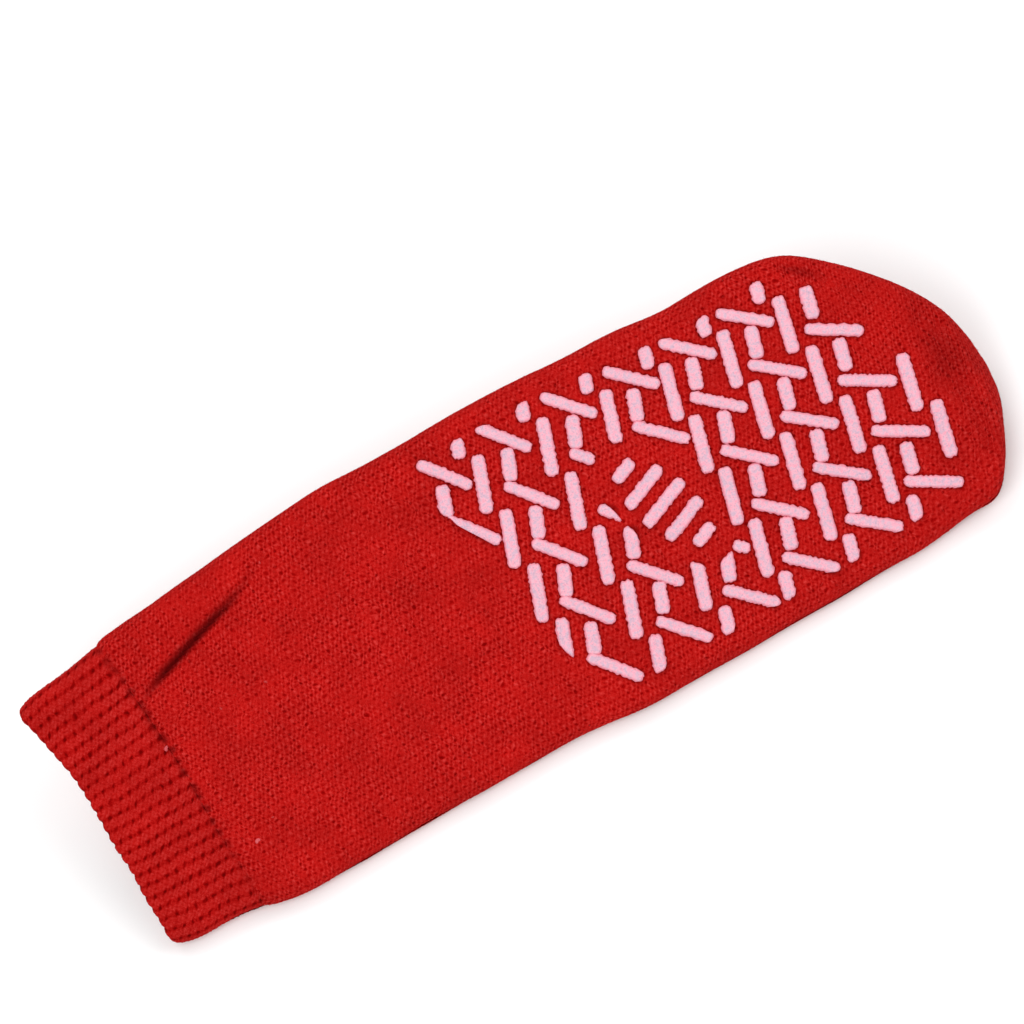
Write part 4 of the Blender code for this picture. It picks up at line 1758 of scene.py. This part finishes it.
    def inner_face(self) -> Cloth:
        """Shapes the inner face, which only follows the soft form.

        Returns:
            The inner face.
        """
        smooth = self.rings(self.form.wall, self.inner_spacing)
        wale, course, around = self.knit_places(smooth)
        rise = np.minimum(self.heights(smooth, wale, around), self.inner_most)
        points = smooth + grid_normals(smooth) * rise[..., None]
        points[:, :, 2] = np.maximum(points[:, :, 2], self.inner_lowest)
        return Cloth(points, wale, course, np.ones_like(wale), np.zeros_like(wale))

    def build(self, knit: Material, terry: Material) -> None:
        """Builds the grip side and the hidden side.

        Args:
            knit: the finish of the outer face.
            terry: the finish of the inner face.
        """
        outer = self.outer_face().with_tip(0.5)
        inner = self.inner_face().with_tip(0.0)
        strip = Cloth(*(np.concatenate((out[::-1], into)) for out, into in zip(outer, inner)))
        normals = np.concatenate((grid_normals(outer.points)[::-1], -grid_normals(inner.points)))
        for name, first, last in (
            ("knit_grip_side", 0, self.form.fold),
            ("knit_hidden_side", self.form.fold, strip.wale.shape[1] - 1),
        ):
            part = np.s_[:, first : last + 1]
            mesh = Cloth(*(grid[part] for grid in strip)).mesh(name, self.form)
            new_piece(mesh, Slot.TERRY, (knit, terry), "knit_body")
            inside = np.arange(len(strip.wale) - 1).repeat(last - first) >= len(outer.wale)
            mesh.polygons.foreach_set("material_index", inside.astype(np.int32))
            mesh.normals_split_custom_set_from_vertices(normals[part].reshape(-1, 3).tolist())


@dataclass
class RibCuff:
    """The mock rib cuff: soft ribs, slanted tuck gaps in the furrows and a scalloped mouth."""

    form: SockForm
    creases: Creases
    relief: float = 0.30 * MM
    inner_relief: float = 0.6  # as a share of the outer
    stitch_relief: float = 0.10 * MM
    least_open: float = 0.35
    more_open: float = 0.75
    columns_a_wale: int = 4
    column_width: float = 0.6 * MM
    rings_a_course: float = 3.0
    rim_steps: int = 6
    inner_rings: int = 26
    lip_steps: tuple[float, ...] = (0.15, 0.4, 0.7, 1.0)
    lip_drop: float = 1.1 * MM
    wobble: Ripple = Ripple(53, 6.0 * MM, 20.0 * MM)
    wale_wobble: float = 0.10
    course_wobble: float = 0.22
    jitter: Ripple = Ripple(83, 2.4 * MM, 5.0 * MM, 20)
    wale_jitter: float = 0.08
    course_jitter: float = 0.15
    off_floor: float = 0.6 * MM
    slack_height: float = 0.35 * MM
    slack: Ripple = Ripple(59, 18.0 * MM, 50.0 * MM)
    scallop: float = 0.22 * MM
    scallop_reach: float = 1.6 * MM
    corner: float = 2.4 * MM  # how far the mouth is worn back at the folds
    corner_reach: float = 3.0 * MM
    corner_start: tuple[float, float] = (39.5 * MM, 46.5 * MM)
    middle: float = 0.6 * MM  # of the two folds, up the sole
    # Painted shade inside the cuff: how far in it starts and is whole, and the darkest painted shade of the
    # cuff
    painted_inside_shade: tuple[float, float] = (3.0 * MM, 30.0 * MM)  # how far in the inside starts to darken, and is dark
    darkest_painted_shade: float = 0.9

    def ring(self, along: float, inset: float) -> Grid:
        """One smooth ring of the cuff at a share of the length."""
        return self.form.ring(self.form.positions_of(np.array([along]))[0], inset, self.columns_a_wale)

    def rings(self) -> tuple[Grid, int]:
        """The smooth tube, from the inside round the mouth to the lip over the leg.

        Returns:
            Its rings, and how many of them are inside.
        """
        form, lip = self.form, self.creases.lip
        start = STATIONS[0].along + form.cuff_rim / form.length
        count = int(round((form.cuff_end - start) * form.length / (form.course / self.rings_a_course)))
        outer = [self.ring(along, 0.0) for along in np.linspace(start, form.cuff_end, count + 1)]
        for step in self.lip_steps:
            outer.append(self.ring(form.cuff_end + lip * step / form.length, self.lip_drop * math.sqrt(step)))
        shares = np.linspace(form.cuff_end, start, self.inner_rings)
        inner = [self.ring(along, form.cuff_wall) for along in shares]
        rim = []
        for angle in np.linspace(math.pi, 0.0, self.rim_steps + 2)[1:-1]:
            ring = self.ring(start, 0.5 * form.cuff_wall * (1.0 - math.cos(angle)))
            ring[:, 0] -= form.cuff_rim * math.sin(angle)
            rim.append(ring)
        return np.array(inner + rim + outer), len(inner)

    def knit_places(self, tube: Grid) -> tuple[Grid, Grid, Grid]:
        """Where each point of the tube lies in the knit.

        Args:
            tube: the smooth rings.

        Returns:
            Wales, courses, and the distance round the tube, each a grid.
        """
        rings, columns, _ = tube.shape
        x, around = tube[:, :, 0], np.tile(np.arange(columns) * self.column_width, (rings, 1))
        wale = -0.5 * self.form.sole_wales + np.arange(columns) / self.columns_a_wale
        run = add_up(np.linalg.norm(np.diff(tube, axis=0), axis=2).mean(axis=1))
        wale = wale + self.wale_wobble * self.wobble.at(x, around)
        wale = wale + self.wale_jitter * self.jitter.at(x, around)
        course = (run / self.form.course)[:, None] + self.course_wobble * self.wobble.at(around, x)
        course = course + self.course_jitter * self.jitter.at(around, x)
        return wale, course, around

    def build(self, material: Material) -> None:
        """Builds the cuff as one closed tube.

        Args:
            material: its finish.
        """
        form, creases = self.form, self.creases
        tube, inner_count = self.rings()
        x, across = tube[:, :, 0], form.across_of(tube)
        outside = (np.arange(len(tube)) >= inner_count)[:, None]
        wale, course, around = self.knit_places(tube)
        opening = self.least_open + self.more_open * Felting().openness(x, around)
        distance = creases.link_distance(x, across)
        relief = self.relief * np.where(outside, 1.0, self.inner_relief)
        ribs = relief * pattern(MOCK_RIB, wale, course) * opening
        stitches = self.stitch_relief * pattern(STOCKINETTE, wale, course)
        slack = self.slack_height * self.slack.at(x, around)
        rise = (creases.link_groove(distance, wale) + slack) * outside - ribs - stitches
        resting = smooth_step(tube[:, :, 2], 0.0, self.off_floor)
        rise = np.where((rise > 0.0) & outside, rise * resting, rise)
        points = tube + grid_normals(tube) * rise[..., None]
        past_mouth = x - x[inner_count]
        from_mouth = np.maximum(0.0, past_mouth)
        fold = smooth_step(np.abs(across - self.middle), *self.corner_start) ** 2
        points[:, :, 0] += self.scallop * rib_beat(wale) * np.exp(-from_mouth / self.scallop_reach)
        points[:, :, 0] += self.corner * fold * np.exp(-from_mouth / self.corner_reach)
        points[:, :, 2] = np.maximum(points[:, :, 2], ON_FLOOR)
        # Painted shade: darker deeper inside the tube, and at the linking line outside
        inside = 0.5 * smooth_step(past_mouth, *self.painted_inside_shade) * ~outside
        shade = np.clip(creases.painted_link_shade(distance, wale, across) * outside + inside, 0.0, self.darkest_painted_shade)
        mesh = Cloth(points, wale, course, opening, shade).mesh("rib_cuff_knit", form)
        new_piece(mesh, Slot.RIB, (material,), "rib_cuff")


@dataclass
class ToeSeam:
    """The linked toe seam: a low ridge of chained stitches over the hidden side of the toe."""

    form: SockForm
    body: KnitBody
    width: float = 3.2 * MM
    height: float = 1.2 * MM
    upper_along: float = 0.893
    lower_along: float = 0.936
    end_drop: float = 1.1 * MM  # how far its ends dip into the knit
    stitch: float = 1.9 * MM
    steps: int = 260
    across_steps: int = 14

    def build(self, material: Material) -> None:
        """Builds the ridge on the body's own surface.

        Args:
            material: its finish.
        """
        body, fold = self.body, self.form.fold
        share = np.linspace(0.0, 1.0, self.steps)
        column = fold + (body.points.shape[1] - 1 - fold) * share
        along = self.upper_along + (self.lower_along - self.upper_along) * share
        ring = np.interp(along, body.along, np.arange(len(body.along)))
        spots = read_grid(body.points, ring, column)
        normals = unit(read_grid(body.normals, ring, column))
        beside = np.cross(normals, unit(np.gradient(spots, axis=0)))
        run = add_up(np.linalg.norm(np.diff(spots, axis=0), axis=1))[:, None]
        from_end = np.minimum(share, 1.0 - share)[:, None]
        taper = 0.25 + 0.75 * smooth_step(from_end, 0.0, 0.16)
        spots = spots - normals * self.end_drop * (1.0 - smooth_step(from_end, 0.0, 0.05))
        angles = np.linspace(0.0, 2.0 * math.pi, self.across_steps, endpoint=False)
        side, lift = np.cos(angles), np.sin(angles)
        beat = np.cos(2.0 * math.pi * (run / self.stitch + 0.22 * np.abs(side)))
        wide = 0.5 * self.width * taper * (0.86 + 0.10 * beat) * side
        high = self.height * taper * (0.42 + (0.50 + 0.13 * beat) * lift)
        points = spots[:, None] + beside[:, None] * wide[..., None] + normals[:, None] * high[..., None]
        faces = grid_faces(self.steps, self.across_steps, closed=True).tolist()
        mesh = new_mesh("toe_seam_stitches", self.form.into_frame(points), faces)
        new_piece(mesh, Slot.LINKING, (material,), "toe_seam")


@dataclass
class LooseFibres:
    """Short fibres worked loose from the yarn, standing a little off the cloth."""

    form: SockForm
    count: int = 13000
    seed: int = 5
    shortest: float = 0.7 * MM
    longest: float = 1.9 * MM
    width: float = 0.055 * MM
    lift: float = 0.42  # slope off the cloth
    off_floor: float = 0.05 * MM

    def build(self, points: Grid, material: Material) -> None:
        """Builds the fibres as one piece of thin bent ribbons.

        Args:
            points: a grid of the cloth's points.
            material: their finish.
        """
        random = np.random.default_rng(self.seed)
        rows, columns, _ = points.shape
        row = random.uniform(2.0, rows - 3.0, self.count)
        column = random.uniform(0.0, columns - 2.0, self.count)
        spots = read_grid(points, row, column)
        ahead = unit(read_grid(points, row + 1.0, column) - spots)
        normals = unit(np.cross(ahead, read_grid(points, row, column + 1.0) - spots))
        beside = np.cross(normals, ahead)
        angle = random.uniform(0.0, 2.0 * math.pi, self.count)[:, None]
        heading = ahead * np.cos(angle) + beside * np.sin(angle)
        bend = random.normal(0.0, 0.5, self.count)[:, None]
        later = ahead * np.cos(angle + bend) + beside * np.sin(angle + bend)
        length = random.uniform(self.shortest, self.longest, self.count)[:, None]
        rise = random.uniform(0.3, 1.3, self.count)[:, None] * self.lift
        side = np.cross(normals, heading) * 0.5 * self.width
        middle = spots + 0.5 * length * (heading + normals * rise)
        tip = middle + 0.5 * length * (later + normals * rise * 0.3)
        narrow = 0.8 * side
        corners = np.stack((spots - side, spots + side, middle + narrow, middle - narrow, tip), axis=1)
        corners[..., 2] = np.maximum(corners[..., 2], self.off_floor)
        base = np.arange(self.count)[:, None] * 5
        faces = (base + np.array((0, 1, 2, 3))).tolist() + (base + np.array((3, 2, 4))).tolist()
        mesh = new_mesh("loose_fibres_of_the_body", self.form.into_frame(corners), faces)
        new_piece(mesh, Slot.TERRY, (material,))


class Speck(NamedTuple):
    """A speck of lint: its place on the sole side and its size."""

    x: float
    across: float
    size: float


@dataclass
class Lint:
    """Small pink specks of print and lint, pressed into the leg's stitches."""

    form: SockForm
    creases: Creases
    specks: tuple[Speck, ...] = (
        Speck(-0.1261, 0.0115, 1.55 * MM),
        Speck(-0.1155, -0.0286, 1.85 * MM),
        Speck(-0.1075, -0.0245, 0.95 * MM),
        Speck(-0.0878, 0.0141, 1.10 * MM),
        Speck(-0.1045, 0.0138, 0.95 * MM),
        Speck(-0.0705, 0.0480, 0.90 * MM),
    )
    stained_size: float = 1.2 * MM  # smaller ones have taken up more of the red
    large_rim: float = 0.45
    sides: int = 10
    rings: tuple[tuple[float, float], ...] = ((1.0, -0.15 * MM), (0.72, 0.28 * MM), (0.3, 0.42 * MM))

    def build(self, material: Material) -> None:
        """Builds the specks as low ragged domes in one piece.

        Args:
            material: their finish.
        """
        angles = np.linspace(0.0, 2.0 * math.pi, self.sides, endpoint=False)
        share, rise = np.array(self.rings).T[:, :, None]
        size = len(self.rings) * self.sides
        points, faces, rims = [], [], []
        for number, speck in enumerate(self.specks):
            ragged = 1.0 + 0.28 * np.sin(2.0 * angles + number) + 0.16 * np.sin(3.0 * angles + 2.0 * number)
            radius = 0.5 * speck.size * share * ragged
            x, across = speck.x + radius * np.cos(angles), speck.across + radius * np.sin(angles)
            points.append(self.form.on_sole(x, across, self.creases.sole_height(x, across) + rise))
            start = number * size
            faces += (grid_faces(len(self.rings), self.sides, closed=True) + start).tolist()
            faces.append(tuple(range(start + size - self.sides, start + size)))
            rims.append(np.full(size, self.large_rim if speck.size > self.stained_size else 1.0))
        mesh = new_mesh("lint_specks", self.form.into_frame(np.array(points)), faces)
        add_value(mesh, RIM, np.concatenate(rims))
        new_piece(mesh, Slot.PRINT, (material,))


class Softbox(NamedTuple):
    """A square light that faces the sock: its name, place, size and power."""

    name: str
    place: tuple[float, float, float]
    size: float
    power: float


@dataclass
class Studio:
    """A plain pale floor, soft light and the camera square to the sole, rolled as in the photograph."""

    form: SockForm
    floor_size: float = 3.0
    world_strength: float = 0.5
    softboxes: tuple[Softbox, ...] = (
        Softbox("key_softbox", (-0.55, -0.75, 1.35), 1.1, 16.0),
        Softbox("fill_softbox", (0.95, -0.15, 1.05), 1.2, 8.0),
        Softbox("rear_softbox", (0.0, 1.05, 1.15), 1.2, 8.0),
    )
    lens: float = 240.0
    sensor: float = 36.0
    frame_width: float = 0.3270  # of the sole's plane, edge to edge of the picture
    roll: float = math.radians(30.0)
    middle_x: float = 0.0073
    middle_across: float = 0.0217
    sole_height: float = 0.0369  # of the sole's plane over the axis

    def build(self) -> None:
        """Builds the floor, the camera, the lights and the pale room."""
        scene = bpy.context.scene
        self.make_floor()
        self.make_camera()
        for box in self.softboxes:
            self.make_light(box)
        world = scene.world or bpy.data.worlds.new("soft_room")
        scene.world = world
        world.use_nodes = True
        background = world.node_tree.nodes["Background"]
        join(world.node_tree, background, color=(1.0, 1.0, 1.0, 1.0), strength=self.world_strength)
        scene.view_settings.view_transform = "Standard"

    def make_floor(self) -> None:
        """A wide plain pale floor."""
        corners = np.array(((-1, -1, 0), (1, -1, 0), (1, 1, 0), (-1, 1, 0))) * self.floor_size
        mesh = new_mesh("floor", corners, [(0, 1, 2, 3)])
        mesh.materials.append(PaperFinish().make())
        floor = add_object("floor", mesh)

    def make_camera(self) -> None:
        """The camera, square to the sole's plane and rolled."""
        out = Vector((0.0, *self.form.out_of_sole))
        up_sole = Vector((0.0, *self.form.up_sole))
        right = Vector((math.cos(self.roll), 0.0, 0.0)) - up_sole * math.sin(self.roll)
        up = Vector((math.sin(self.roll), 0.0, 0.0)) + up_sole * math.cos(self.roll)
        target = out * self.sole_height + up_sole * self.middle_across
        target += Vector((self.middle_x, self.form.axis_shift, 0.0))
        place = target + out * (self.frame_width * self.lens / self.sensor)
        data = bpy.data.cameras.new("camera")
        data.lens = self.lens
        data.sensor_width = self.sensor
        camera = add_object("camera", data)
        turn = Matrix((right, up, out)).transposed().to_4x4()
        camera.matrix_world = Matrix.Translation(place) @ turn
        bpy.context.scene.camera = camera

    def make_light(self, box: Softbox) -> None:
        """Adds a softbox.

        Args:
            box: what it is like.
        """
        data = bpy.data.lights.new(box.name, "AREA")
        data.shape = "SQUARE"
        data.size = box.size
        data.energy = box.power
        light = add_object(box.name, data)
        light.location = box.place
        light.rotation_euler = (-Vector(box.place)).to_track_quat("-Z", "Y").to_euler()


# Felted acrylic: painted light on the legs, and painted shade of the same dye in the gaps between them
TERRY_KNIT = KnitFinish(
    name="acrylic_terry_knit",
    waves=STOCKINETTE,
    stops=((0.0, "C43431"), (0.38, "AE1613"), (0.60, "970404"), (0.92, "7A0000")),
)
# Elastic acrylic rib: broad soft ribs in painted light, and tuck gaps that hold most of the painted shade
RIB_KNIT = KnitFinish(
    name="acrylic_mock_rib",
    waves=MOCK_RIB,
    stops=((0.0, "C0312E"), (0.40, "A6120F"), (0.62, "8C0303"), (0.90, "6C0000")),
)
# Crumbs of the same print, stained by the red yarn that they are pressed into
PRINT_LINT = PrintFinish(
    name="plastisol_crumbs", base="DE686E", lilac="CE6068", pink="E4747A", rim="B6302F", stain="C24C54"
)


def main() -> None:
    """Builds the sock's pieces in order, then the studio."""
    logging.basicConfig(level=logging.INFO, format="%(name)s: %(message)s")
    form = SockForm()
    creases = Creases(form)
    grip = GripPrint(form, creases)
    grip.lay_out()
    body = KnitBody(form, creases, grip)
    body.build(TERRY_KNIT.make(), TerryFinish().make())
    RibCuff(form, creases).build(RIB_KNIT.make())
    ToeSeam(form, body).build(YarnFinish().make())
    LooseFibres(form).build(body.points, FibreFinish().make())
    grip.build(PrintFinish().make())
    Lint(form, creases).build(PRINT_LINT.make())
    Studio(form).build()


if __name__ == "__main__":
    main()
